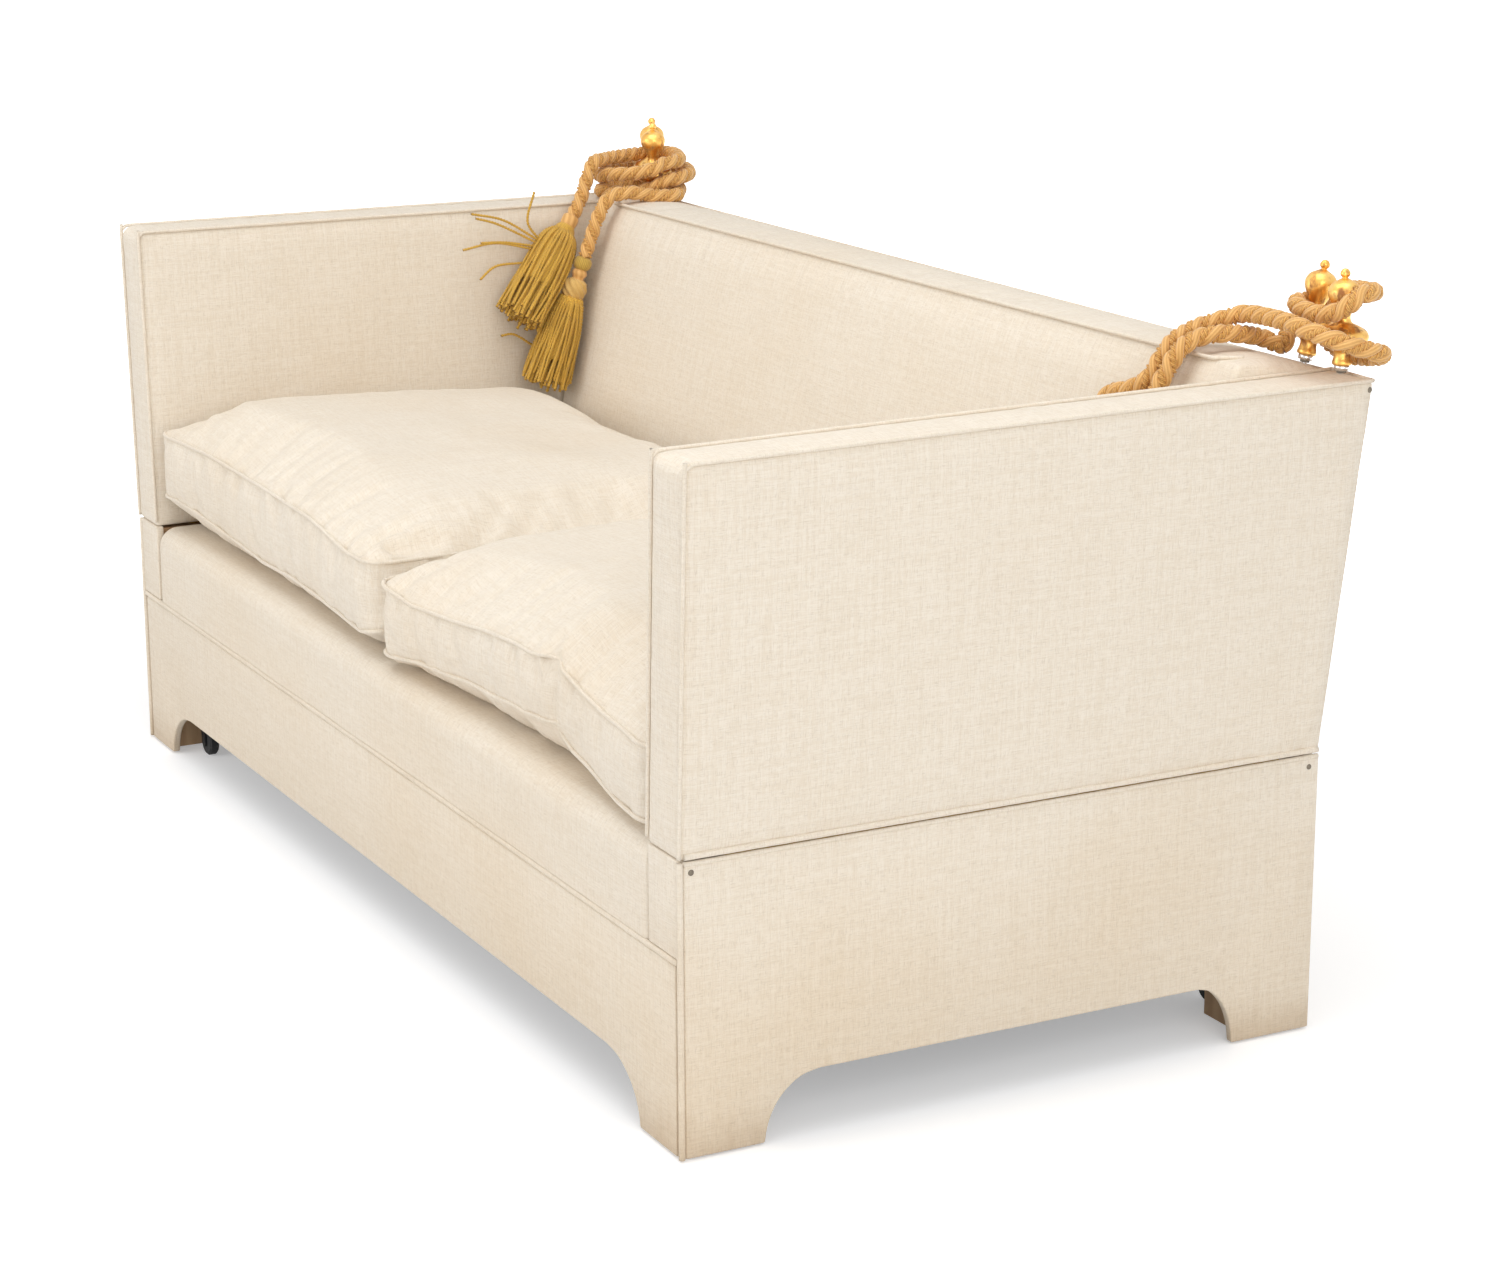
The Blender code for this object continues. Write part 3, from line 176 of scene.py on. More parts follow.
def only(obj: Piece) -> Piece:
    """Selects one object alone and makes it active."""
    deselect_all()
    obj.select_set(True)
    bpy.context.view_layer.objects.active = obj
    return obj


def apply_modifiers(obj: Piece) -> Piece:
    """Applies every modifier of an object, in order."""
    only(obj)
    for modifier in list(obj.modifiers):
        bpy.ops.object.modifier_apply(modifier=modifier.name)
    return obj


def outward(obj: Piece) -> Piece:
    """Points the faces of a closed mesh outwards."""
    bm = bmesh.new()
    bm.from_mesh(obj.data)
    bmesh.ops.recalc_face_normals(bm, faces=bm.faces[:])
    if bm.calc_volume(signed=True) < 0:
        bmesh.ops.reverse_faces(bm, faces=bm.faces[:])
    bm.to_mesh(obj.data)
    bm.free()
    return obj


def primitive(name: str, add: Callable, **settings: object) -> Piece:
    """A named object at the origin, made by one of Blender's own operators."""
    deselect_all()
    add(location=(0, 0, 0), **settings)
    obj = bpy.context.object
    obj.name = obj.data.name = name
    return obj


def mesh_object(name: str, points: np.ndarray, faces: Sequence[Sequence[int]]) -> Piece:
    """A new smooth object at the origin from points and faces.

    Args:
        name: the piece's name.
        points: one row per vertex.
        faces: vertex numbers of each face.

    Returns:
        The new object, with its faces pointing out.
    """
    mesh = bpy.data.meshes.new(name)
    mesh.from_pydata([tuple(p) for p in points], [], [tuple(f) for f in faces])
    obj = bpy.data.objects.new(name, mesh)
    bpy.context.scene.collection.objects.link(obj)
    outward(obj)
    mesh.shade_smooth()
    return obj


def fetched(items: object, name: str, width: int = 1, kind: type = float) -> np.ndarray:
    """One attribute of every vertex, loop or face, with a row each where it has several numbers."""
    out = np.empty(len(items) * width, kind)
    items.foreach_get(name, out)
    return out.reshape(-1, width) if width > 1 else out


def coordinates(obj: Piece) -> np.ndarray:
    """The vertices of an object, one row each."""
    return fetched(obj.data.vertices, "co", 3)


def vertex_normals(obj: Piece) -> np.ndarray:
    """The way out at each vertex of an object."""
    return fetched(obj.data.vertices, "normal", 3)


def move_to(obj: Piece, points: np.ndarray) -> Piece:
    """Puts the vertices of an object at new places."""
    obj.data.vertices.foreach_set("co", np.asarray(points, float).ravel())
    obj.data.update()
    return obj


def refine(obj: Piece) -> Piece:
    """Subdivides a mesh smoothly once and applies it."""
    modifier = obj.modifiers.new("smooth", "SUBSURF")
    modifier.levels = modifier.render_levels = 1
    return apply_modifiers(obj)


def cloth_uv(obj: Piece) -> Piece:
    """Lays cloth over a mesh along the axis that each face mostly looks along, in metres."""
    mesh = obj.data
    layer = mesh.uv_layers.new(name="cloth") if not mesh.uv_layers else mesh.uv_layers[0]
    corners = fetched(mesh.polygons, "loop_total", kind=int)
    axis = np.repeat(np.argmax(np.abs(fetched(mesh.polygons, "normal", 3)), axis=1), corners)[:, None]
    at = coordinates(obj)[fetched(mesh.loops, "vertex_index", kind=int)]
    uv = np.where(axis == 0, at[:, [1, 2]], np.where(axis == 1, at[:, [0, 2]], at[:, :2]))
    layer.data.foreach_set("uv", uv.ravel())
    return obj


def point_uv(obj: Piece, uv: np.ndarray, turn: float = 1.0) -> Piece:
    """Gives each vertex its own place on the cloth or thread.

    Args:
        obj: the piece.
        uv: place of each vertex, along and round.
        turn: what one full turn adds, which the faces that close a tube need.

    Returns:
        The same piece.
    """
    layer = obj.data.uv_layers.new(name="thread")
    starts, totals = (fetched(obj.data.polygons, name, kind=int) for name in ("loop_start", "loop_total"))
    places = uv[fetched(obj.data.loops, "vertex_index", kind=int)]
    furthest = np.repeat(np.maximum.reduceat(places[:, 1], starts), totals)
    places[furthest - places[:, 1] > turn / 2, 1] += turn
    layer.data.foreach_set("uv", places.ravel())
    return obj


def box_grid(cells: tuple[int, int, int]) -> tuple[np.ndarray, Faces]:
    """A closed box of small faces.

    Args:
        cells: number of cells along each axis.

    Returns:
        Points as shares of the box, and the faces between them.
    """
    index: dict[tuple[int, ...], int] = {}
    points: list[list[float]] = []
    faces: Faces = []
    for axis in range(3):
        first, second = (axis + 1) % 3, (axis + 2) % 3
        for level in (0, cells[axis]):
            for i in range(cells[first]):
                for j in range(cells[second]):
                    quad = []
                    for di, dj in ((0, 0), (1, 0), (1, 1), (0, 1)):
                        key = [0, 0, 0]
                        key[axis], key[first], key[second] = level, i + di, j + dj
                        spot = tuple(key)
                        if spot not in index:
                            index[spot] = len(points)
                            points.append([k / n for k, n in zip(spot, cells)])
                        quad.append(index[spot])
                    faces.append(tuple(quad if level else reversed(quad)))
    return np.array(points), faces


def dense_edges(shares: np.ndarray, amounts: Point) -> np.ndarray:
    """Draws points towards both ends of each axis, so that rounded edges get more of them."""
    columns = (
        (1 - amount) * column + amount * (0.5 - 0.5 * np.cos(np.pi * column))
        for column, amount in zip(shares.T, amounts)
    )
    return np.stack(list(columns), axis=1)


def at_end(shares: np.ndarray, axis: int) -> np.ndarray:
    """Whether each point lies on one of the two faces across an axis."""
    return np.isin(shares[:, axis], (0, 1))


def rounded(shares: np.ndarray, size: Point, radius: float) -> np.ndarray:
    """Rounds the edges of a box of points.

    Args:
        shares: points as shares of the box.
        size: the box's size in metres.
        radius: radius of its edges.

    Returns:
        The moved points, again as shares.
    """
    metres = shares * np.array(size)
    core = np.clip(metres, radius, np.array(size) - radius)
    away = metres - core
    length = np.linalg.norm(away, axis=1, keepdims=True)
    return (core + np.where(length > 0, away * radius / np.maximum(length, 1e-9), 0)) / np.array(size)


def ripple(points: np.ndarray, scale: float, seed: float) -> np.ndarray:
    """Smooth noise between -1 and 1 at points, the same on every run."""
    return np.array([noise.noise(Vector(p) * scale + Vector((seed, seed * 1.7, -seed))) for p in points])


def loft(rings: np.ndarray) -> tuple[np.ndarray, Faces]:
    """A closed skin over rings of equal count, with both ends capped.

    Args:
        rings: array of ring, point, coordinate.

    Returns:
        Points and faces.
    """
    count, sides = rings.shape[:2]
    faces: Faces = [tuple(range(sides)), tuple(range((count - 1) * sides, count * sides))]
    for ring in range(count - 1):
        low, high = ring * sides, (ring + 1) * sides
        faces += [(low + k, low + (k + 1) % sides, high + (k + 1) % sides, high + k) for k in range(sides)]
    return rings.reshape(-1, 3), faces


def travelled(route: np.ndarray) -> np.ndarray:
    """Distance along a route at each of its points."""
    return np.concatenate(([0.0], np.cumsum(np.linalg.norm(np.diff(route, axis=0), axis=1))))


def between(at: np.ndarray, run: np.ndarray, values: np.ndarray) -> np.ndarray:
    """Vectors given at distances along a route, read at other distances."""
    return np.stack([np.interp(at, run, values[:, k]) for k in range(3)], axis=1)


def even(points: Sequence[Sequence[float]] | np.ndarray, step: float) -> np.ndarray:
    """The same route with points at even distances, about one step apart."""
    route = np.array(points, float)
    run = travelled(route)
    at = np.linspace(0.0, run[-1], max(2, round(run[-1] / step) + 1))
    return between(at, run, route)


def curved(points: Iterable[Sequence[float]], fine: int = 12) -> np.ndarray:
    """A smooth curve through points, cut into short steps, as the CAD cuts it."""
    ends = [np.array(p, float) for p in points]
    ends = [2 * ends[0] - ends[1], *ends, 2 * ends[-1] - ends[-2]]
    route = []
    for a, b, c, d in zip(ends, ends[1:], ends[2:], ends[3:]):
        for t in np.linspace(0.0, 1.0, fine, endpoint=False):
            square, cube = 2 * a - 5 * b + 4 * c - d, 3 * b - a - 3 * c + d
            route.append((2 * b + (c - a) * t + square * t**2 + cube * t**3) / 2)
    return np.array(route + [ends[-2]])


def wrapped(along: np.ndarray, sides: int) -> np.ndarray:
    """Distance along a tube and share of the turn, for each of its points."""
    return np.stack([np.repeat(along, sides), np.tile(np.arange(sides) / sides, len(along))], axis=1)


def upright(foot: Vector, way: Vector) -> Matrix:
    """Stands a thing that was built up the Z axis at a foot, pointing a way."""
    return Matrix.Translation(foot) @ way.to_track_quat("Z", "Y").to_matrix().to_4x4()


@dataclass
class Sweep:
    """A route with a steady frame along it, to sweep sections and strands on."""

    route: np.ndarray

    def __post_init__(self) -> None:
        """Carries a frame along the route without twisting it."""
        self.run = travelled(self.route)
        ways = np.gradient(self.route, axis=0)
        self.ways = ways / np.linalg.norm(ways, axis=1, keepdims=True)
        start = np.array((0.0, 0.0, 1.0)) if abs(self.ways[0][2]) < 0.8 else np.array((1.0, 0.0, 0.0))
        first = []
        for way in self.ways:
            start = start - way * (start @ way)
            start = start / np.linalg.norm(start)
            first.append(start)
        self.first = np.array(first)
        self.second = np.cross(self.ways, self.first)

    def beside(self, distance: Numbers, turn: np.ndarray) -> np.ndarray:
        """Points at a distance from the route, at an angle about it."""
        reach = np.broadcast_to(distance, turn.shape)[:, None]
        return self.route + reach * (np.cos(turn)[:, None] * self.first + np.sin(turn)[:, None] * self.second)

    def skin(self, radii: np.ndarray) -> Skin:
        """A tube about the route.

        Args:
            radii: radius at each point of the route and each side of the section.

        Returns:
            Points, faces, and for each point its distance along and its share of the turn.
        """
        sides = radii.shape[1]
        turns = [np.full(len(self.run), math.tau * k / sides) for k in range(sides)]
        rings = np.stack([self.beside(radii[:, k], turn) for k, turn in enumerate(turns)], 1)
        return *loft(rings), wrapped(self.run, sides)


def two_ply(radius: float, angle: np.ndarray) -> np.ndarray:
    """Outline of two cords laid side by side, as a radius at an angle."""
    apart, ply = 0.45 * radius, 0.55 * radius
    return apart * np.abs(np.cos(angle)) + np.sqrt(ply**2 - (apart * np.sin(angle)) ** 2)


def joined(parts: Sequence[Skin]) -> Skin:
    """One set of points, faces and places from several."""
    points, faces, uvs, base = [], [], [], 0
    for some, theirs, uv in parts:
        points.append(some)
        faces += [tuple(k + base for k in face) for face in theirs]
        uvs.append(uv)
        base += len(some)
    return np.concatenate(points), faces, np.concatenate(uvs)


def tube_object(name: str, route: np.ndarray, radius: float) -> Piece:
    """A round cord of cloth along a route, a little uneven as hand-sewn piping is."""
    sweep = Sweep(route)
    swell = 1 + 0.05 * ripple(route, 60.0, radius * 1000)
    points, faces, uv = sweep.skin(np.repeat((radius * swell)[:, None], PIPE_SIDES, axis=1))
    obj = mesh_object(name, points, faces)
    return point_uv(obj, uv * np.array((1.0, math.tau * radius)), math.tau * radius)


def shown(obj: Piece, body: str, slot: str, finish: bpy.types.Material, *nodes: str) -> Piece:
    """Dresses a piece, hangs it on the empty of the body that carries it, hides the CAD nodes it stands for,
    and reports it.
    """
    if nodes:
        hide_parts(*nodes)
    obj.data.materials.clear()
    obj.data.materials.append(finish)
    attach(obj, body)
    LOG.info("%s on %s: %d faces", obj.name, body, len(obj.data.polygons))
    return obj


# Finishes


class Graph:
    """Short ways to build a node tree."""

    def __init__(self, tree: bpy.types.NodeTree) -> None:
        """Keeps the tree that nodes go into."""
        self.tree = tree

    def node(self, kind: str, **settings: object) -> bpy.types.Node:
        """A new node with some of its settings."""
        made = self.tree.nodes.new(kind)
        for key, value in settings.items():
            setattr(made, key, value)
        return made

    def put(self, socket: Socket, value: object) -> None:
        """Links a socket to another, or gives it a plain value."""
        if isinstance(value, Socket):
            self.tree.links.new(value, socket)
        elif isinstance(value, tuple) and len(value) == 3 and len(socket.default_value) == 4:
            socket.default_value = (*value, 1.0)
        else:
            socket.default_value = value

    def math(self, operation: str, a: object, b: object = 0.0, clamp: bool = False) -> Socket:
        """A number worked out from two others."""
        made = self.node("ShaderNodeMath", operation=operation, use_clamp=clamp)
        self.put(made.inputs[0], a)
        self.put(made.inputs[1], b)
        return made.outputs[0]

    def times(self, a: object, b: object) -> Socket:
        """One number times another."""
        return self.math("MULTIPLY", a, b)

    def plus(self, a: object, b: object, clamp: bool = False) -> Socket:
        """The sum of two numbers."""
        return self.math("ADD", a, b, clamp)

    def seen(self) -> Socket:
        """1 for rays that come from the camera straight, by a mirror or through glass, and 0 for others."""
        paths = self.node("ShaderNodeLightPath")
        seen = self.math("MAXIMUM", paths.outputs["Is Camera Ray"], paths.outputs["Is Glossy Ray"])
        return self.math("MAXIMUM", seen, paths.outputs["Is Transmission Ray"])

    def span(
        self, value: object, low: float, high: float, to_low: float = 0.0, to_high: float = 1.0
    ) -> Socket:
        """A value moved smoothly from one range to another, and held inside it."""
        made = self.node("ShaderNodeMapRange", interpolation_type="SMOOTHSTEP")
        self.put(made.inputs["Value"], value)
        for name, number in (("From Min", low), ("From Max", high), ("To Min", to_low), ("To Max", to_high)):
            made.inputs[name].default_value = number
        return made.outputs["Result"]

    def mix(self, factor: object, a: object, b: object, kind: str = "MIX") -> Socket:
        """A colour between two others."""
        made = self.node("ShaderNodeMix", data_type="RGBA", blend_type=kind)
        self.put(made.inputs[0], factor)
        self.put(made.inputs[6], a)
        self.put(made.inputs[7], b)
        return made.outputs[2]

    def scaled(self, vector: object, scale: Point) -> Socket:
        """A vector times another."""
        made = self.node("ShaderNodeVectorMath", operation="MULTIPLY")
        self.put(made.inputs[0], vector)
        made.inputs[1].default_value = scale
        return made.outputs[0]

    def noise(self, vector: object, scale: float = 1.0, detail: float = 2.0, flat: bool = False) -> Socket:
        """Smooth noise, on the surface (flat) or through the object."""
        made = self.node("ShaderNodeTexNoise", noise_dimensions="2D" if flat else "3D")
        self.put(made.inputs["Vector"], vector)
        made.inputs["Scale"].default_value = scale
        made.inputs["Detail"].default_value = detail
        return made.outputs["Fac"]

    def bump(self, shader: bpy.types.Node, height: object, distance: float) -> None:
        """Raises the surface by a height."""
        made = self.node("ShaderNodeBump")
        made.inputs["Distance"].default_value = distance
        self.put(made.inputs["Height"], height)
        self.put(shader.inputs["Normal"], made.outputs["Normal"])

    def place(self) -> Socket:
        """The place in the object."""
        return self.node("ShaderNodeTexCoord").outputs["Object"]

    def surface(self) -> Socket:
        """The place on the piece's own cloth or thread."""
        return self.node("ShaderNodeTexCoord").outputs["UV"]

    def group(self, tree: bpy.types.NodeTree, **inputs: object) -> bpy.types.Node:
        """A shared group placed in this material with its own values."""
        made = self.node("ShaderNodeGroup", node_tree=tree)
        for key, value in inputs.items():
            self.put(made.inputs[key], value)
        return made

    def wave(self, vector: object, along: str, scale: float, distortion: float = 0.0) -> Socket:
        """Even bands across one axis."""
        made = self.node("ShaderNodeTexWave", wave_type="BANDS", bands_direction=along)
        self.put(made.inputs["Vector"], vector)
        made.inputs["Scale"].default_value = scale
        made.inputs["Distortion"].default_value = distortion
        return made.outputs["Fac"]


def new_group(
    name: str, inputs: Sequence[tuple[str, str, object]], outputs: Sequence[tuple[str, str]]
) -> tuple[bpy.types.NodeTree, Graph, bpy.types.Node, bpy.types.Node]:
    """A shader node group with named sockets.

    Args:
        name: the group's name.
        inputs: name, socket type and default of each input.
        outputs: name and socket type of each output.

    Returns:
        The group, a Graph on it, its input node and its output node.
    """
    group = bpy.data.node_groups.new(name, "ShaderNodeTree")
    for label, kind, value in inputs:
        socket = group.interface.new_socket(name=label, in_out="INPUT", socket_type=kind)
        if value is not None:
            socket.default_value = value
    for label, kind in outputs:
        group.interface.new_socket(name=label, in_out="OUTPUT", socket_type=kind)
    graph = Graph(group)
    return group, graph, graph.node("NodeGroupInput"), graph.node("NodeGroupOutput")


def slubbed_weave() -> bpy.types.NodeTree:
    """Plain linen weave with thick and thin yarns both ways.

    Takes the place on the cloth in metres. Gives the tone of the yarns, dark flecks and the height.
    """
    group, g, given, out = new_group(
        "slubbed weave",
        [("Cloth", "NodeSocketVector", None)],
        [("Tone", "NodeSocketFloat"), ("Fleck", "NodeSocketFloat"), ("Height", "NodeSocketFloat")],
    )
    cloth = given.outputs["Cloth"]
    weft = g.noise(g.scaled(cloth, (55.0, 640.0, 0.0)), detail=3.0, flat=True)
    warp = g.noise(g.scaled(cloth, (720.0, 48.0, 0.0)), detail=3.0, flat=True)
    broad_weft = g.noise(g.scaled(cloth, (9.0, 210.0, 0.0)), detail=2.0, flat=True)
    broad_warp = g.noise(g.scaled(cloth, (240.0, 7.0, 0.0)), detail=2.0, flat=True)
    fine = g.plus(weft, warp)
    broad = g.plus(broad_weft, broad_warp)
    tone = g.plus(g.times(fine, 0.36), g.times(broad, 0.24))
    g.put(out.inputs["Tone"], g.span(tone, 0.46, 0.74))
    dash_weft = g.span(g.noise(g.scaled(cloth, (95.0, 760.0, 0.0)), detail=1.0, flat=True), 0.63, 0.74)
    dash_warp = g.span(g.noise(g.scaled(cloth, (800.0, 90.0, 0.0)), detail=1.0, flat=True), 0.62, 0.73)
    g.put(out.inputs["Fleck"], g.math("MAXIMUM", dash_weft, dash_warp))
    over = g.wave(cloth, "X", 250.0)
    under = g.wave(cloth, "Y", 235.0)
    woven = g.times(g.plus(over, under), 0.22)
    g.put(out.inputs["Height"], g.plus(woven, g.times(fine, 0.45)))
    return group


def handling_marks() -> bpy.types.NodeTree:
    """Soiling that age leaves: yellowed patches, and grime that climbs from the floor.

    Takes the place in the object. Gives the share of yellowing and of grime.
    """
    group, g, given, out = new_group(
        "handling marks",
        [("Place", "NodeSocketVector", None)],
        [("Yellowing", "NodeSocketFloat"), ("Grime", "NodeSocketFloat")],
    )
    place = given.outputs["Place"]
    split = g.node("ShaderNodeSeparateXYZ")
    g.put(split.inputs[0], place)
    height = split.outputs["Z"]
    patches = g.span(g.noise(place, 2.6, 3.0), 0.42, 0.75)
    low = g.span(height, 0.42, 0.05)
    g.put(out.inputs["Yellowing"], g.plus(g.times(patches, 0.45), g.times(low, 0.55), True))
    blotch = g.noise(place, 24.0, 4.0)
    foot = g.span(g.math("SUBTRACT", height, g.times(blotch, 0.06)), 0.045, -0.03)
    g.put(out.inputs["Grime"], foot)
    return group


def worn_edges() -> bpy.types.NodeTree:
    """Wear where hands and rope have rubbed, from noise through the object.

    Takes the place in the object and the size of the patches. Gives the share worn and a fine grain.
    """
    group, g, given, out = new_group(
        "worn patches",
        [("Place", "NodeSocketVector", None), ("Amount", "NodeSocketFloat", 0.5)],
        [("Worn", "NodeSocketFloat"), ("Grain", "NodeSocketFloat")],
    )
    place = given.outputs["Place"]
    patch = g.plus(g.noise(g.scaled(place, (1.0, 1.0, 0.45)), 95.0, 5.0), given.outputs["Amount"])
    g.put(out.inputs["Worn"], g.span(patch, 1.02, 1.20))
    g.put(out.inputs["Grain"], g.noise(place, 620.0, 3.0))
    return group


def straight_grain() -> bpy.types.NodeTree:
    """Straight beech grain with short rays.

    Takes the place in the piece, drawn out along the grain. Gives the growth rings and the rays.
    """
    group, g, given, out = new_group(
        "straight grain",
        [("Drawn Place", "NodeSocketVector", None)],
        [("Ring", "NodeSocketFloat"), ("Ray", "NodeSocketFloat")],
    )
    drawn = given.outputs["Drawn Place"]
    g.put(out.inputs["Ring"], g.noise(drawn, 34.0, 4.0))
    g.put(out.inputs["Ray"], g.span(g.noise(drawn, 210.0, 2.0), 0.60, 0.72))
    return group


def twisted_plies() -> bpy.types.NodeTree:
    """Fine plies that wind along a strand, and the fuzz of its fibres.

    Takes the place on the strand, the place in the object, how many plies show round the strand and how
    fast they wind. Gives the plies, the fuzz and broad changes of shade.
    """
    group, g, given, out = new_group(
        "twisted plies",
        [
            ("Strand", "NodeSocketVector", None),
            ("Place", "NodeSocketVector", None),
            ("Plies", "NodeSocketFloat", 9.0),
            ("Slant", "NodeSocketFloat", 240.0),
        ],
        [("Ply", "NodeSocketFloat"), ("Fuzz", "NodeSocketFloat"), ("Shade", "NodeSocketFloat")],
    )
    split = g.node("ShaderNodeSeparateXYZ")
    g.put(split.inputs[0], given.outputs["Strand"])
    along = g.times(split.outputs["X"], given.outputs["Slant"])
    turns = g.plus(g.times(split.outputs["Y"], given.outputs["Plies"]), along)
    g.put(out.inputs["Ply"], g.plus(g.times(g.math("SINE", g.times(turns, math.tau)), 0.5), 0.5))
    g.put(out.inputs["Fuzz"], g.noise(given.outputs["Place"], 900.0, 2.0))
    g.put(out.inputs["Shade"], g.span(g.noise(given.outputs["Place"], 38.0, 3.0), 0.30, 0.72))
    return group


class Groups:
    """The shared node groups, each built once."""

    def __init__(self) -> None:
        """Builds the groups."""
        self.weave = slubbed_weave()
        self.marks = handling_marks()
        self.wear = worn_edges()
        self.grain = straight_grain()
        self.plies = twisted_plies()


GROUPS = Groups()


@dataclass(frozen=True)
class Finish:
    """What every finish shares: a name, a colour, a roughness and the rest of the shader's plain numbers."""

    name: str
    colour: Point
    roughness: float = 0.6
    metallic: float = 0.0
    sheen: float = 0.0

    def start(self, label: str) -> tuple[bpy.types.Material, Graph, bpy.types.Node]:
        """An empty material with its shader's plain numbers set.

        Args:
            label: what tells this material from others of the same finish.

        Returns:
            The material, a Graph on it and its shader.
        """
        material = bpy.data.materials.new(f"{self.name} {label}".strip())
        material.use_nodes = True
        graph = Graph(material.node_tree)
        shader = material.node_tree.nodes["Principled BSDF"]
        graph.put(shader.inputs["Base Color"], self.colour)
        graph.put(shader.inputs["Roughness"], self.roughness)
        graph.put(shader.inputs["Metallic"], self.metallic)
        graph.put(shader.inputs["Sheen Weight"], self.sheen)
        return material, graph, shader


@dataclass(frozen=True)
class Linen(Finish):
    """Slubbed natural linen, yellowed a little and grimed at the feet."""

    yarn: Point = (0.715, 0.590, 0.430)
    fleck: Point = (0.500, 0.405, 0.300)
    yellowed: Point = (0.860, 0.690, 0.450)
    grime: Point = (0.560, 0.420, 0.260)
    unevenness: float = 0.0

    def material(self, label: str = "") -> bpy.types.Material:
        """The material."""
        material, g, shader = self.start(label)
        weave = g.group(GROUPS.weave, Cloth=g.surface())
        place = g.place()
        marks = g.group(GROUPS.marks, Place=place)
        cloth = g.mix(g.times(weave.outputs["Tone"], 0.40), self.colour, self.yarn)
        cloth = g.mix(g.times(weave.outputs["Fleck"], 0.24), cloth, self.fleck)
        cloth = g.mix(g.times(marks.outputs["Yellowing"], 0.35), cloth, self.yellowed, "MULTIPLY")
        cloth = g.mix(g.times(marks.outputs["Grime"], 0.36), cloth, self.grime, "MULTIPLY")
        g.put(shader.inputs["Base Color"], cloth)
        g.put(shader.inputs["Roughness"], g.plus(g.times(weave.outputs["Tone"], 0.10), 0.82))
        height = weave.outputs["Height"]
        if self.unevenness:
            soft = g.times(g.noise(place, 7.0, 2.0), self.unevenness)
            height = g.plus(height, soft)
        g.bump(shader, height, 0.0007)
        return material


@dataclass(frozen=True)
class Twist(Finish):
    """Twisted rayon or silk yarn of a rope, cord or tassel, with fine plies along it, the grooves between
    them painted as shade.
    """

    # Colour of the painted shade in the grooves between the plies, and of broad darker patches
    shade: Point = (0.30, 0.13, 0.03)
    plies: float = 9.0
    ply_slant: float = 240.0

    def material(self, label: str = "") -> bpy.types.Material:
        """The material."""
        material, g, shader = self.start(label)
        yarn = g.group(
            GROUPS.plies, Strand=g.surface(), Place=g.place(), Plies=self.plies, Slant=self.ply_slant
        )
        ply, fuzz = yarn.outputs["Ply"], yarn.outputs["Fuzz"]
        tone = g.plus(g.times(ply, 0.42), g.times(fuzz, 0.38))
        # Painted shade: where the plies part, the colour falls towards the shade colour
        colour = g.mix(g.span(tone, 0.15, 0.62), self.shade, self.colour)
        colour = g.mix(g.times(yarn.outputs["Shade"], 0.30), colour, self.shade)
        g.put(shader.inputs["Base Color"], colour)
        g.put(shader.inputs["Roughness"], g.plus(g.times(fuzz, 0.2), self.roughness))
        g.bump(shader, g.plus(ply, g.times(fuzz, 0.6)), 0.0004)
        return material


@dataclass(frozen=True)
class Gilt(Finish):
    """Old gold leaf on turned wood, rubbed through to brown ground."""

    ground: Point = (0.26, 0.075, 0.018)
    amount: float = 0.50

    def material(self, label: str = "") -> bpy.types.Material:
        """The material."""
        material, g, shader = self.start(label)
        place = g.place()
        wear = g.group(GROUPS.wear, Place=place, Amount=self.amount)
        worn = wear.outputs["Worn"]
        pale = g.mix(g.span(g.noise(place, 60.0, 4.0), 0.35, 0.7), self.colour, (0.98, 0.66, 0.22))
        g.put(shader.inputs["Base Color"], g.mix(g.times(worn, 0.85), pale, self.ground))
        g.put(shader.inputs["Metallic"], g.math("SUBTRACT", 1.0, g.times(worn, 0.75)))
        rough = g.plus(g.times(worn, 0.20), g.times(wear.outputs["Grain"], 0.16))
        g.put(shader.inputs["Roughness"], g.plus(rough, self.roughness))
        g.bump(shader, g.math("SUBTRACT", wear.outputs["Grain"], worn), 0.00012)
        return material


@dataclass(frozen=True)
class Metal(Finish):
    """Plain metal with fine handling grain and dull patches."""

    dull: Point = (0.30, 0.30, 0.30)

    def material(self, label: str = "") -> bpy.types.Material:
        """The material."""
        material, g, shader = self.start(label)
        wear = g.group(GROUPS.wear, Place=g.place(), Amount=0.46)
        g.put(shader.inputs["Base Color"], g.mix(g.times(wear.outputs["Worn"], 0.5), self.colour, self.dull))
        g.put(shader.inputs["Roughness"], g.plus(g.times(wear.outputs["Grain"], 0.22), self.roughness))
        g.bump(shader, wear.outputs["Grain"], 0.00005)
        return material


@dataclass(frozen=True)
class Beech(Finish):
    """Planed beech, with its grain along one axis."""

    axis: int = 0
    ring: Point = (0.42, 0.25, 0.13)

    def material(self, label: str = "") -> bpy.types.Material:
        """The material."""
        material, g, shader = self.start(label)
        drawn = g.scaled(g.place(), tuple(0.06 if k == self.axis else 1.0 for k in range(3)))
        grain = g.group(GROUPS.grain, **{"Drawn Place": drawn})
        colour = g.mix(g.span(grain.outputs["Ring"], 0.3, 0.7), self.colour, self.ring)
        g.put(shader.inputs["Base Color"], g.mix(g.times(grain.outputs["Ray"], 0.4), colour, self.ring))
        g.put(shader.inputs["Roughness"], g.plus(g.times(grain.outputs["Ring"], 0.2), self.roughness))
        g.bump(shader, grain.outputs["Ring"], 0.0002)
        return material


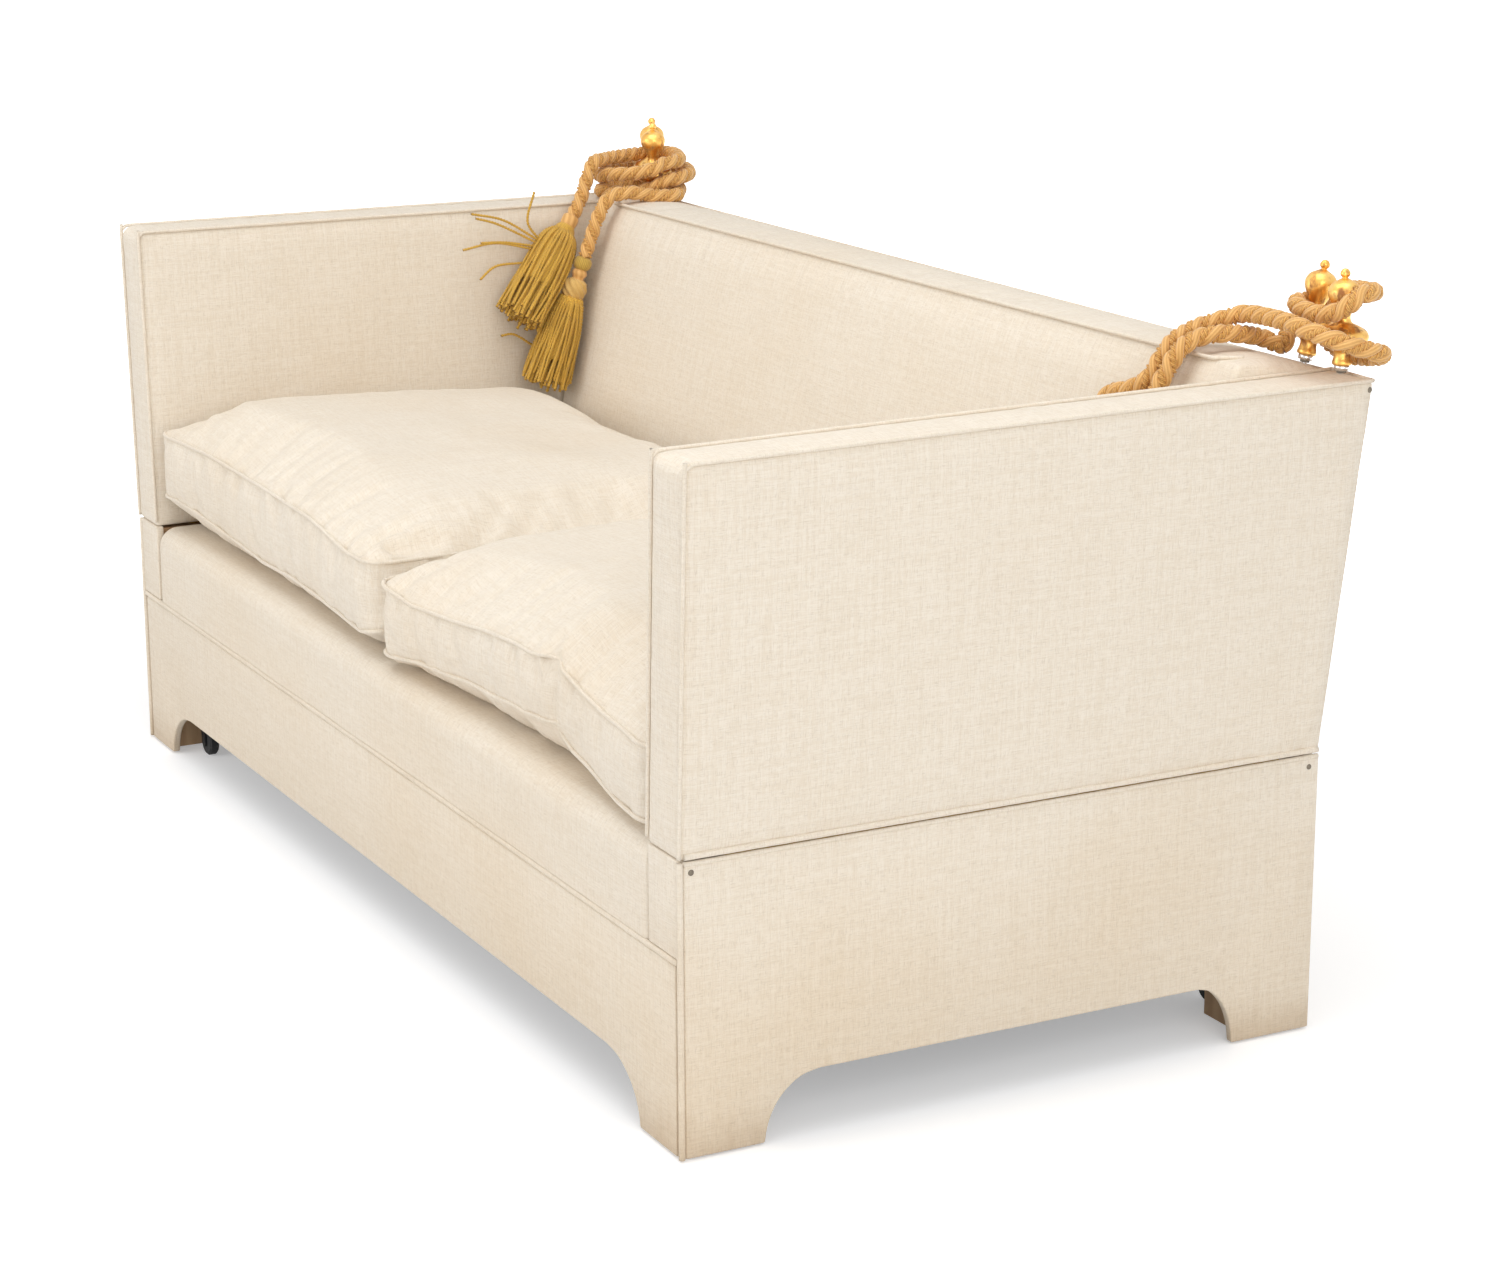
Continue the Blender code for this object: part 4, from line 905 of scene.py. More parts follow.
@dataclass(frozen=True)
class Hessian(Finish):
    """Thin black platform cloth."""

    def material(self, label: str = "") -> bpy.types.Material:
        """The material."""
        material, g, shader = self.start(label)
        place = g.place()
        threads = g.plus(g.wave(place, "X", 330.0, 0.4), g.wave(place, "Y", 330.0, 0.4))
        colour = g.mix(g.span(threads, 0.4, 1.6), (0.012, 0.012, 0.013), self.colour)
        g.put(shader.inputs["Base Color"], colour)
        g.put(shader.inputs["Roughness"], g.plus(g.times(g.noise(place, 30.0), 0.15), self.roughness))
        g.bump(shader, threads, 0.0002)
        return material


LINEN = Linen("natural linen", (0.872, 0.790, 0.672), sheen=0.12)
PADDED_LINEN = Linen("padded linen", (0.872, 0.790, 0.672), sheen=0.12, unevenness=3.0)
ROPE_SMOOTH = Twist(
    "smooth rope strand", (0.84, 0.49, 0.165), 0.48, sheen=0.30,
    shade=(0.62, 0.32, 0.085), plies=8.0, ply_slant=25.0,
)
ROPE_GIMP = Twist(
    "gimped rope strand", (0.86, 0.49, 0.135), 0.52, sheen=0.20,
    shade=(0.52, 0.24, 0.050), plies=6.0, ply_slant=500.0,
)
TASSEL_CORD = Twist(
    "mustard tassel cord", (0.93, 0.57, 0.075), 0.50, sheen=0.20,
    shade=(0.50, 0.26, 0.025), plies=4.0, ply_slant=420.0,
)
TASSEL_END = Twist("cut tassel end", (0.42, 0.21, 0.04), 0.80, shade=(0.14, 0.06, 0.012), plies=3.0)
NET_SILK = Twist(
    "netted knob silk", (0.93, 0.64, 0.22), 0.50, sheen=0.3,
    shade=(0.60, 0.33, 0.07), plies=16.0, ply_slant=600.0,
)
BEAD_SILK = Twist(
    "olive bead silk", (0.62, 0.40, 0.07), 0.60, sheen=0.2,
    shade=(0.42, 0.26, 0.04), plies=30.0, ply_slant=0.0,
)
GILT = Gilt("worn gilt", (0.86, 0.47, 0.115), 0.28, 1.0)
CHROME = Metal("bright steel", (0.80, 0.81, 0.83), 0.10, 1.0, dull=(0.50, 0.50, 0.52))
BRASS = Metal("hinge brass", (0.60, 0.42, 0.14), 0.28, 1.0, dull=(0.30, 0.20, 0.08))
SPRING_WIRE = Metal("spring wire", (0.16, 0.17, 0.19), 0.38, 1.0, dull=(0.07, 0.06, 0.06))
CASTOR_IRON = Metal("castor iron", (0.035, 0.035, 0.037), 0.42, 0.8, dull=(0.09, 0.08, 0.07))
CASTOR_RUBBER = Metal("castor rubber", (0.022, 0.022, 0.023), 0.62, 0.0, dull=(0.06, 0.058, 0.055))
NAIL_IRON = Metal("dull nail", (0.20, 0.17, 0.13), 0.45, 0.7, dull=(0.08, 0.05, 0.03))
PLATFORM_CLOTH = Hessian("black bottom cloth", (0.045, 0.045, 0.048), 0.85)


def beech(axis: int) -> bpy.types.Material:
    """Beech with its grain along an axis."""
    return Beech("planed beech", (0.62, 0.42, 0.24), 0.48, axis=axis).material("xyz"[axis])


# Stage


# Name, place, point aimed at, width and height, and power of each lamp
SOFTBOXES = (
    ("overhead softbox", (0.6, -0.6, 3.6), (0.0, 0.0, 0.4), (3.6, 2.6), 50.0),
    ("right softbox", (4.2, -0.8, 1.9), (0.4, 0.0, 0.5), (2.2, 2.2), 47.0),
    ("front softbox", (-0.6, -4.2, 1.8), (0.0, 0.0, 0.4), (2.6, 2.0), 42.0),
)


@dataclass
class Stage:
    """Camera at the photograph's place, pale floor and soft studio light."""

    eye: Point = (4.37990, -1.68588, 1.67896)
    azimuth: float = 62.4141
    elevation: float = 15.3776
    roll: float = -0.204
    focal_pixels: float = 3507.996
    image_width: float = 1500.0
    sensor: float = 36.0
    floor_size: float = 30.0
    room_light: float = 0.62

    def camera(self) -> None:
        """Makes the camera and sets it as the scene's."""
        data = bpy.data.cameras.new("photograph camera")
        data.sensor_width = self.sensor
        data.sensor_fit = "HORIZONTAL"
        data.lens = self.focal_pixels / self.image_width * self.sensor
        data.clip_end = 60.0
        obj = bpy.data.objects.new("photograph camera", data)
        bpy.context.scene.collection.objects.link(obj)
        turn, rise, roll = (math.radians(angle) for angle in (self.azimuth, self.elevation, self.roll))
        back = Vector((math.sin(turn) * math.cos(rise), -math.cos(turn) * math.cos(rise), math.sin(rise)))
        right = Vector((math.cos(turn), math.sin(turn), 0.0))
        up = back.cross(right)
        right, up = right * math.cos(roll) + up * math.sin(roll), up * math.cos(roll) - right * math.sin(roll)
        facing = Matrix((right, up, back)).transposed().to_4x4()
        obj.matrix_world = Matrix.Translation((self.eye[0], self.eye[1] + S.front, self.eye[2])) @ facing
        bpy.context.scene.camera = obj

    def softbox(self, name: str, place: Point, aim: Point, size: tuple[float, float], power: float) -> None:
        """One area lamp turned towards a point."""
        data = bpy.data.lights.new(name, "AREA")
        data.shape = "RECTANGLE"
        data.size, data.size_y = size
        data.energy = power
        obj = bpy.data.objects.new(name, data)
        obj.location = place
        obj.rotation_euler = (Vector(aim) - Vector(place)).to_track_quat("-Z", "Y").to_euler()
        bpy.context.scene.collection.objects.link(obj)

    def lights(self) -> None:
        """A pale room, a broad light overhead and softer ones from both sides."""
        bpy.context.scene.view_settings.view_transform = "Standard"
        world = bpy.data.worlds.new("pale studio")
        bpy.context.scene.world = world
        world.use_nodes = True
        g = Graph(world.node_tree)
        tree = world.node_tree
        background = tree.nodes["Background"]
        seen = g.seen()
        g.put(background.inputs["Color"], (1.0, 1.0, 1.0))
        g.put(background.inputs["Strength"], g.span(seen, 0.0, 1.0, self.room_light, 1.0))
        for softbox in SOFTBOXES:
            self.softbox(*softbox)

    def floor(self) -> None:
        """A white floor that keeps the sofa's shadow."""
        obj = primitive("studio_floor", bpy.ops.mesh.primitive_plane_add, size=self.floor_size)
        material = bpy.data.materials.new("white studio floor")
        material.use_nodes = True
        g = Graph(material.node_tree)
        shader = material.node_tree.nodes["Principled BSDF"]
        g.put(shader.inputs["Base Color"], (0.84, 0.84, 0.845))
        g.put(shader.inputs["Roughness"], 0.95)
        g.put(shader.inputs["Specular IOR Level"], 0.0)
        g.put(shader.inputs["Emission Color"], (1.0, 1.0, 1.0))
        seen = g.seen()
        place = g.place()
        away = g.node("ShaderNodeVectorMath", operation="LENGTH")
        g.put(away.inputs[0], g.scaled(place, (0.8, 1.0, 1.0)))
        glow = g.span(away.outputs["Value"], 1.0, 2.4, 0.33, 1.0)
        g.put(shader.inputs["Emission Strength"], g.times(seen, glow))
        obj.data.materials.append(material)


# Rope and tassels


FINIAL_OUTLINE: Outline = (
    (0.0000, 0.1290), (0.0035, 0.1280), (0.0060, 0.1240), (0.0058, 0.1205), (0.0036, 0.1175),
    (0.0075, 0.1150), (0.0145, 0.1110), (0.0190, 0.1050), (0.0203, 0.0985), (0.0185, 0.0910),
    (0.0140, 0.0830), (0.0105, 0.0760), (0.0085, 0.0690), (0.0110, 0.0620), (0.0200, 0.0575),
    (0.0285, 0.0520), (0.0318, 0.0450), (0.0290, 0.0375), (0.0200, 0.0310), (0.0115, 0.0270),
    (0.0105, 0.0200), (0.0120, 0.0140), (0.0118, 0.0105), (0.0095, 0.0095),
)
FERRULE_OUTLINE: Outline = (
    (0.0, 0.0100), (0.0086, 0.0098), (0.0094, 0.0090), (0.0094, 0.0040), (0.0086, 0.0032),
    (0.0062, 0.0030), (0.0060, 0.0), (0.0, 0.0),
)


@dataclass
class FinialPlaces:
    """Where each finial stands on the cloth and how it leans, as in the CAD."""

    places = {
        "left_arm": (0.020, 0.018, 0.0),
        "right_arm": (0.020, 0.025, 0.004),
        "left_back": (0.097, -0.018, 0.0),
        "right_back": (0.0875, 0.019, 0.005),
    }
    leans = {"right_back": 12.0}
    top_swell: float = 0.005

    def cloth_height(self, key: str, y: float) -> float:
        """Height of the CAD's cloth under a finial."""
        side = -1 if key.startswith("left") else 1
        if key.endswith("arm"):
            return float(S.arm_top(side, y))
        x = side * (S.half - self.places[key][0])
        rear = S.rear_edge(x)
        middle_height = (S.crest(x) + rear) / 2 + self.top_swell
        middle, end = S.rear + (S.arm_rake - S.back_top_depth) / 2, S.rear + S.arm_rake
        return middle_height + (rear - middle_height) * max(0.0, y - middle) / (end - middle)

    def axis(self, key: str) -> tuple[Vector, Vector]:
        """Foot of a finial on the cloth, and the way it points."""
        inset, beyond, lift = self.places[key]
        side = -1 if key.startswith("left") else 1
        lean = math.radians(self.leans.get(key, 0.0))
        y = S.rear + beyond
        foot = Vector((side * (S.half - inset), y, self.cloth_height(key, y) + lift))
        return foot, Vector((0, math.sin(lean), math.cos(lean)))


FINIALS = FinialPlaces()


@dataclass
class Rope:
    """Thick gold rope of two smooth and two gimped strands, tied round a corner's two finials.

    The turns' heights and the tails' points repeat the CAD's route. The whole rope is one twist, cut
    where the CAD cuts it, so its strands run on from piece to piece.
    """

    side: Side
    turns: Outline
    nose: tuple[float, float] | None
    tails: tuple[tuple[str, tuple[Point, ...]], tuple[str, tuple[Point, ...]]]
    radius: float = 0.0120
    slack: float = 0.0015
    bore: float = 0.0043
    ease: float = 0.011
    nose_round: float = 0.016
    turn_points: int = 24
    turn_places: int = 8
    pitch: float = 0.054
    strand: float = 0.0059
    helix: float = 0.0063
    knob: float = 0.0064
    blend_places: tuple[float, float] = (0.925, 0.965)
    blend_height: float = 0.90

    def clearance(self, height: float) -> float:
        """How far from a finial's axis the rope's middle lies at a height."""
        reach = self.bore
        for (r0, h0), (r1, h1) in zip(FINIAL_OUTLINE, FINIAL_OUTLINE[1:]):
            for t in np.linspace(0.0, 1.0, 6):
                away = h0 + (h1 - h0) * t - height
                if abs(away) < self.radius:
                    reach = max(reach, r0 + (r1 - r0) * t + math.sqrt(self.radius**2 - away**2))
        return reach + self.slack

    def winding(self) -> list[Point]:
        """The turns round both finials, from the front by the outer side to the rear."""
        side = self.side.value
        axes = [FINIALS.axis(f"{self.side.word}_arm"), FINIALS.axis(f"{self.side.word}_back")]
        heights, slacks = zip(*self.turns)
        places = range(len(self.turns))
        points = []
        for k in range(round(self.turn_points * (len(self.turns) - 1) / self.turn_places) + 1):
            place = k * self.turn_places / self.turn_points
            height = axes[0][0].z + float(np.interp(place, places, heights))
            slack = float(np.interp(place, places, slacks))
            turn = math.tau * k / self.turn_points
            ahead = Vector((side * math.sin(turn), -math.cos(turn)))
            sideways = Vector((side * math.cos(turn), math.sin(turn)))
            pulls = []
            for foot, way in axes:
                along = (height - foot.z) / way.z
                pulls.append(((foot + way * along).xy, self.clearance(along) + slack))
            if self.nose:
                nose = Vector((side * (S.half - self.nose[0]), S.rear - self.nose[1]))
                pulls.append((nose, self.nose_round))
            reaches = [centre @ ahead + radius for centre, radius in pulls]
            furthest = max(reaches)
            weights = [math.exp((reach - furthest) / self.ease) for reach in reaches]
            total = sum(weights)
            reach = furthest + math.log(total) * self.ease
            slip = sum(w * (centre @ sideways) for w, (centre, _) in zip(weights, pulls)) / total
            points.append((*(ahead * reach + sideways * slip), height))
        return points

    def route(self) -> tuple[np.ndarray, tuple[int, ...]]:
        """The whole rope's smooth route, and where it is cut into tail, winding and tail."""
        side, fine = self.side.value, 12
        first, last = ([(side * (S.half - x), S.rear - y, z) for x, y, z in tail] for _, tail in self.tails)
        winding = self.winding()
        smooth = curved(first[::-1] + winding + last, fine)
        return smooth, (0, len(first) * fine, (len(first) + len(winding) - 1) * fine, len(smooth) - 1)

    def strands(self, name: str, sweep: Sweep, start: float, end: float) -> Piece:
        """The four strands of one stretch of the rope.

        Args:
            name: name of the piece.
            sweep: the whole rope's route.
            start: where the stretch starts along the route.
            end: where it ends.

        Returns:
            The stretch as one mesh, its smooth strands in the first slot and the gimped in the second.
        """
        parts, kinds = [], []
        for number in range(4):
            gimped = number % 2 == 1
            step, sides = (0.0011, 14) if gimped else (0.0028, 10)
            at = np.linspace(start, end, max(4, round((end - start) / step)))
            centre, first, second = (
                between(at, sweep.run, values) for values in (sweep.route, sweep.first, sweep.second)
            )
            turn = -math.tau * (at / self.pitch + number / 4)
            path = centre + self.helix * (np.cos(turn)[:, None] * first + np.sin(turn)[:, None] * second)
            strand = Sweep(path)
            angles = math.tau * np.arange(sides) / sides
            if gimped:
                twist = math.tau * strand.run[:, None] / (2 * self.knob)
                radii = two_ply(self.strand, angles[None, :] + twist)
            else:
                radii = np.full((len(at), sides), self.strand)
            points, faces, uv = strand.skin(radii)
            parts.append((points, faces, uv))
            kinds += [int(gimped)] * len(faces)
        points, faces, uv = joined(parts)
        obj = point_uv(mesh_object(name, points, faces), uv)
        obj.data.polygons.foreach_set("material_index", kinds)
        return obj

    def build(self) -> list[tuple[Vector, Vector]]:
        """Both tails and the winding, built and dressed.

        Returns:
            The end of each tail and the way it points.
        """
        smooth, cuts = self.route()
        sweep = Sweep(smooth)
        word = self.side.word
        names = (self.tails[0][0], f"{word}_rope_winding", self.tails[1][0])
        finishes = (ROPE_SMOOTH.material(word), ROPE_GIMP.material(word))
        ends = []
        for index, node in enumerate(names):
            start, end = sweep.run[cuts[index]] + S.gap / 2, sweep.run[cuts[index + 1]] - S.gap / 2
            piece = self.strands(f"twisted_{node}", sweep, start, end)
            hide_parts(node)
            for finish in finishes:
                piece.data.materials.append(finish)
            stretch = smooth[cuts[index] : cuts[index + 1] + 1]
            if index == 1:
                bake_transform(piece)
            else:
                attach(piece, "base")
                route = stretch[::-1] if index == 0 else stretch
                ends.append((Vector(route[-1]), Vector(route[-1] - route[-2]).normalized()))
            LOG.info("%s: %d faces", piece.name, len(piece.data.polygons))
        return ends


class Head(Enum):
    """How a tassel begins."""

    WRAPPED = "wrapped neck"
    BEADED = "bead, ring and netted knob"


# For each head its wound pieces (finish, outline as radius and distance down, sides, ribs, their depth
# and slant), then the skirt's outside as distance down and radius
HEADS = {
    Head.WRAPPED: (
        (
            (
                ROPE_SMOOTH,
                ((0.0126, -0.022), (0.0140, -0.019), (0.0138, -0.010), (0.0128, -0.004), (0.0124, 0.000)),
                40, 0, 0.0, 0,
            ),
            (
                TASSEL_CORD,
                ((0.0122, -0.005), (0.0150, -0.001), (0.0168, 0.004), (0.0180, 0.010), (0.0150, 0.016)),
                52, 26, 0.06, 0.3,
            ),
        ),
        ((0.004, 0.015), (0.012, 0.026), (0.030, 0.035), (0.060, 0.039), (0.110, 0.041), (0.186, 0.0425)),
    ),
    Head.BEADED: (
        (
            (
                BEAD_SILK,
                ((0.0090, 0.000), (0.0135, 0.004), (0.0152, 0.011), (0.0135, 0.018), (0.0085, 0.023)),
                40, 0, 0.0, 0,
            ),
            (
                ROPE_SMOOTH,
                ((0.0090, 0.021), (0.0120, 0.025), (0.0125, 0.030), (0.0100, 0.036), (0.0110, 0.043)),
                40, 0, 0.0, 0,
            ),
            (
                NET_SILK,
                ((0.0105, 0.038), (0.0165, 0.043), (0.0195, 0.053), (0.0188, 0.063), (0.0150, 0.071)),
                64, 8, 0.09, 0.75,
            ),
            (
                TASSEL_CORD,
                ((0.0130, 0.066), (0.0185, 0.070), (0.0200, 0.075), (0.0185, 0.082), (0.0140, 0.086)),
                64, 16, 0.10, 0.2,
            ),
        ),
        ((0.070, 0.016), (0.078, 0.024), (0.100, 0.030), (0.125, 0.034), (0.175, 0.039), (0.229, 0.0435)),
    ),
}
# Number of cords in each ring of a skirt, and the ring's share of the skirt's radius
CORD_RINGS = ((42, 1.0), (22, 0.82), (12, 0.56), (5, 0.30))


@dataclass
class Tassel:
    """A tassel of twisted cords under its head, built down its own axis and then hung from a tail."""

    name: str
    node: str
    head: Head
    seed: int
    strays: tuple[tuple[Point, Point, Point], ...] = ()
    sides: int = 8
    step: float = 0.0014
    ply_turn: float = 0.0104
    stray_radius: float = 0.0026

    def cords(self, rng: np.random.Generator, outline: Outline) -> list:
        """The skirt's twisted cords, in rings of which the outer ones cover the inner.

        Args:
            rng: source of the small differences between cords.
            outline: distance down the axis and radius of the skirt's outside.

        Returns:
            Points, faces and places of each cord.
        """
        parts = []
        downs, reaches = zip(*outline)
        for ring, (count, reach) in enumerate(CORD_RINGS):
            for k in range(count):
                thick = rng.uniform(0.0029, 0.0033)
                turn = math.tau * (k + 0.5 * ring) / count + rng.uniform(-0.08, 0.08)
                length = downs[-1] - downs[0] + rng.uniform(-0.012, 0.004) - 0.004 * (3 - ring)
                sway, wander = rng.uniform(-0.16, 0.16), rng.uniform(0.0, math.tau)
                splay = reach * rng.uniform(0.92, 1.03)
                stations = []
                for t in np.linspace(0.0, 1.0, 16):
                    down = downs[0] + length * t
                    radius = max(0.0, float(np.interp(down, downs, reaches)) - thick) * splay
                    angle = turn + sway * t * t + 0.07 * math.sin(4 * t + wander)
                    radius *= 1 + 0.04 * math.sin(6 * t + 2 * wander)
                    stations.append((radius * math.cos(angle), radius * math.sin(angle), down))
                parts.append(self.cord(curved(stations, 5), thick))
        return parts

    def cord(self, route: np.ndarray, radius: float) -> Skin:
        """One cord of two plies."""
        sweep = Sweep(even(route, self.step))
        angles = math.tau * np.arange(self.sides) / self.sides
        twist = math.tau * sweep.run[:, None] / self.ply_turn
        return sweep.skin(two_ply(radius, angles[None, :] + twist))

    def spun(self, outline: Outline, sides: int, ribs: float, depth: float, slant: float) -> Skin:
        """A head piece turned about the axis, with slanting ribs of wound thread."""
        profile = curved([(r, 0.0, z) for r, z in outline], 6)
        turn = math.tau * np.arange(sides) / sides
        rings = []
        for index, (radius, _, z) in enumerate(profile):
            swell = 1 + depth * np.cos(ribs * turn + slant * index)
            across, along = radius * swell * np.cos(turn), radius * swell * np.sin(turn)
            rings.append(np.stack([across, along, np.full(sides, z)], 1))
        return *loft(np.array(rings)), wrapped(profile[:, 2], sides)

    def build(self, end: Vector, way: Vector) -> None:
        """Hangs the tassel from a tail's end."""
        rng = np.random.default_rng(self.seed)
        pieces, skirt = HEADS[self.head]
        heads = [(finish, self.spun(*shape)) for finish, *shape in pieces]
        cords = self.cords(rng, skirt)
        bundle = tuple((0.78 * reach, down) for down, reach in skirt[:-1])
        heads.append((TASSEL_CORD, self.spun(bundle, 60, 30, 0.06, 0.15)))
        stand = upright(end + way * S.gap, way)
        parts, finishes, kinds = [], [], []
        for finish, part in heads + [(TASSEL_CORD, cord) for cord in cords]:
            if finish not in finishes:
                finishes.append(finish)
            parts.append(part)
            kinds += [finishes.index(finish)] * len(part[1])
        finishes.append(TASSEL_END)
        points, faces, uv = joined(parts)
        placed = np.array([stand @ Vector(p) for p in points])
        own = [self.cord(curved(stray, 12), self.stray_radius) for stray in self.strays]
        if own:
            more, their_faces, more_uv = joined(own)
            faces += [tuple(k + len(placed) for k in face) for face in their_faces]
            placed, uv = np.concatenate([placed, more]), np.concatenate([uv, more_uv])
            kinds += [finishes.index(TASSEL_CORD)] * len(their_faces)
        for number, face in enumerate(faces):
            if len(face) == self.sides:
                kinds[number] = finishes.index(TASSEL_END)
        obj = point_uv(mesh_object(self.name, placed, faces), uv)
        obj.data.polygons.foreach_set("material_index", kinds)
        for finish in finishes:
            obj.data.materials.append(finish.material(self.name))
        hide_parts(self.node)
        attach(obj, "base")
        LOG.info("%s: %d cords, %d faces", self.name, len(cords) + len(own), len(faces))


# Padded pieces


# Cloth simulation settings of heavy linen
LINEN_CLOTH = {
    "quality": 5,
    "mass": 0.3,
    "tension_stiffness": 12.0,
    "compression_stiffness": 12.0,
    "shear_stiffness": 4.0,
    "bending_stiffness": 0.6,
    "air_damping": 2.0,
    "use_pressure": True,
}


@dataclass(frozen=True)
class Stuffing:
    """Feathers or wadding that press a cover out from inside, as a short cloth simulation."""

    pressure: float = 4.0
    reach: float = 0.022
    spare: float = 0.03
    frames: int = 20

    def fill(self, obj: Piece, held: np.ndarray, reach: np.ndarray | None = None) -> Piece:
        """Presses a closed cover outwards, and holds it where it is sewn or nailed down.

        Args:
            obj: the cover.
            held: whether each vertex stays where it is.
            reach: how far each vertex may move, where that differs.

        Returns:
            The same object, with the simulated shape in its mesh.
        """
        before = coordinates(obj)
        group = obj.vertex_groups.new(name="sewn")
        group.add([int(k) for k in np.flatnonzero(held)], 1.0, "ADD")
        modifier = obj.modifiers.new("cloth", "CLOTH")
        settings = modifier.settings
        for key, value in LINEN_CLOTH.items():
            setattr(settings, key, value)
        settings.uniform_pressure_force = self.pressure
        settings.shrink_min = -self.spare
        settings.vertex_group_mass = "sewn"
        settings.effector_weights.gravity = 0.0
        modifier.collision_settings.use_collision = False
        modifier.point_cache.frame_start, modifier.point_cache.frame_end = 1, self.frames
        for number in range(1, self.frames + 1):
            bpy.context.scene.frame_set(number)
        only(obj)
        bpy.ops.object.modifier_apply(modifier=modifier.name)
        bpy.context.scene.frame_set(1)
        moved = coordinates(obj) - before
        limit = (np.full(len(before), self.reach) if reach is None else reach)[:, None]
        length = np.linalg.norm(moved, axis=1, keepdims=True)
        obj.vertex_groups.clear()
        return move_to(obj, before + moved * np.minimum(1.0, limit / np.maximum(length, 1e-9)))


def piping(name: str, route: Sequence[Point] | np.ndarray, radius: float, body: str, *nodes: str) -> Piece:
    """Linen-covered cord along a route, standing for the CAD's if it has one.

    Args:
        name: name of the piece.
        route: points that it passes.
        radius: its radius.
        body: the body that carries it.
        nodes: CAD nodes that it stands for.

    Returns:
        The piping.
    """
    obj = tube_object(name, even(route, PIPE_STEP), radius)
    return shown(obj, body, "linen", LINEN.material("piping"), *nodes)


def plan_rounded(metres: np.ndarray, size: np.ndarray, radius: float) -> np.ndarray:
    """Rounds the corners of a flat grid of points, from the rim inwards."""
    core = np.clip(metres, radius, size - radius)
    away = metres - core
    far = np.abs(away).max(axis=1, keepdims=True)
    return core + away * far / np.maximum(np.linalg.norm(away, axis=1, keepdims=True), 1e-9)


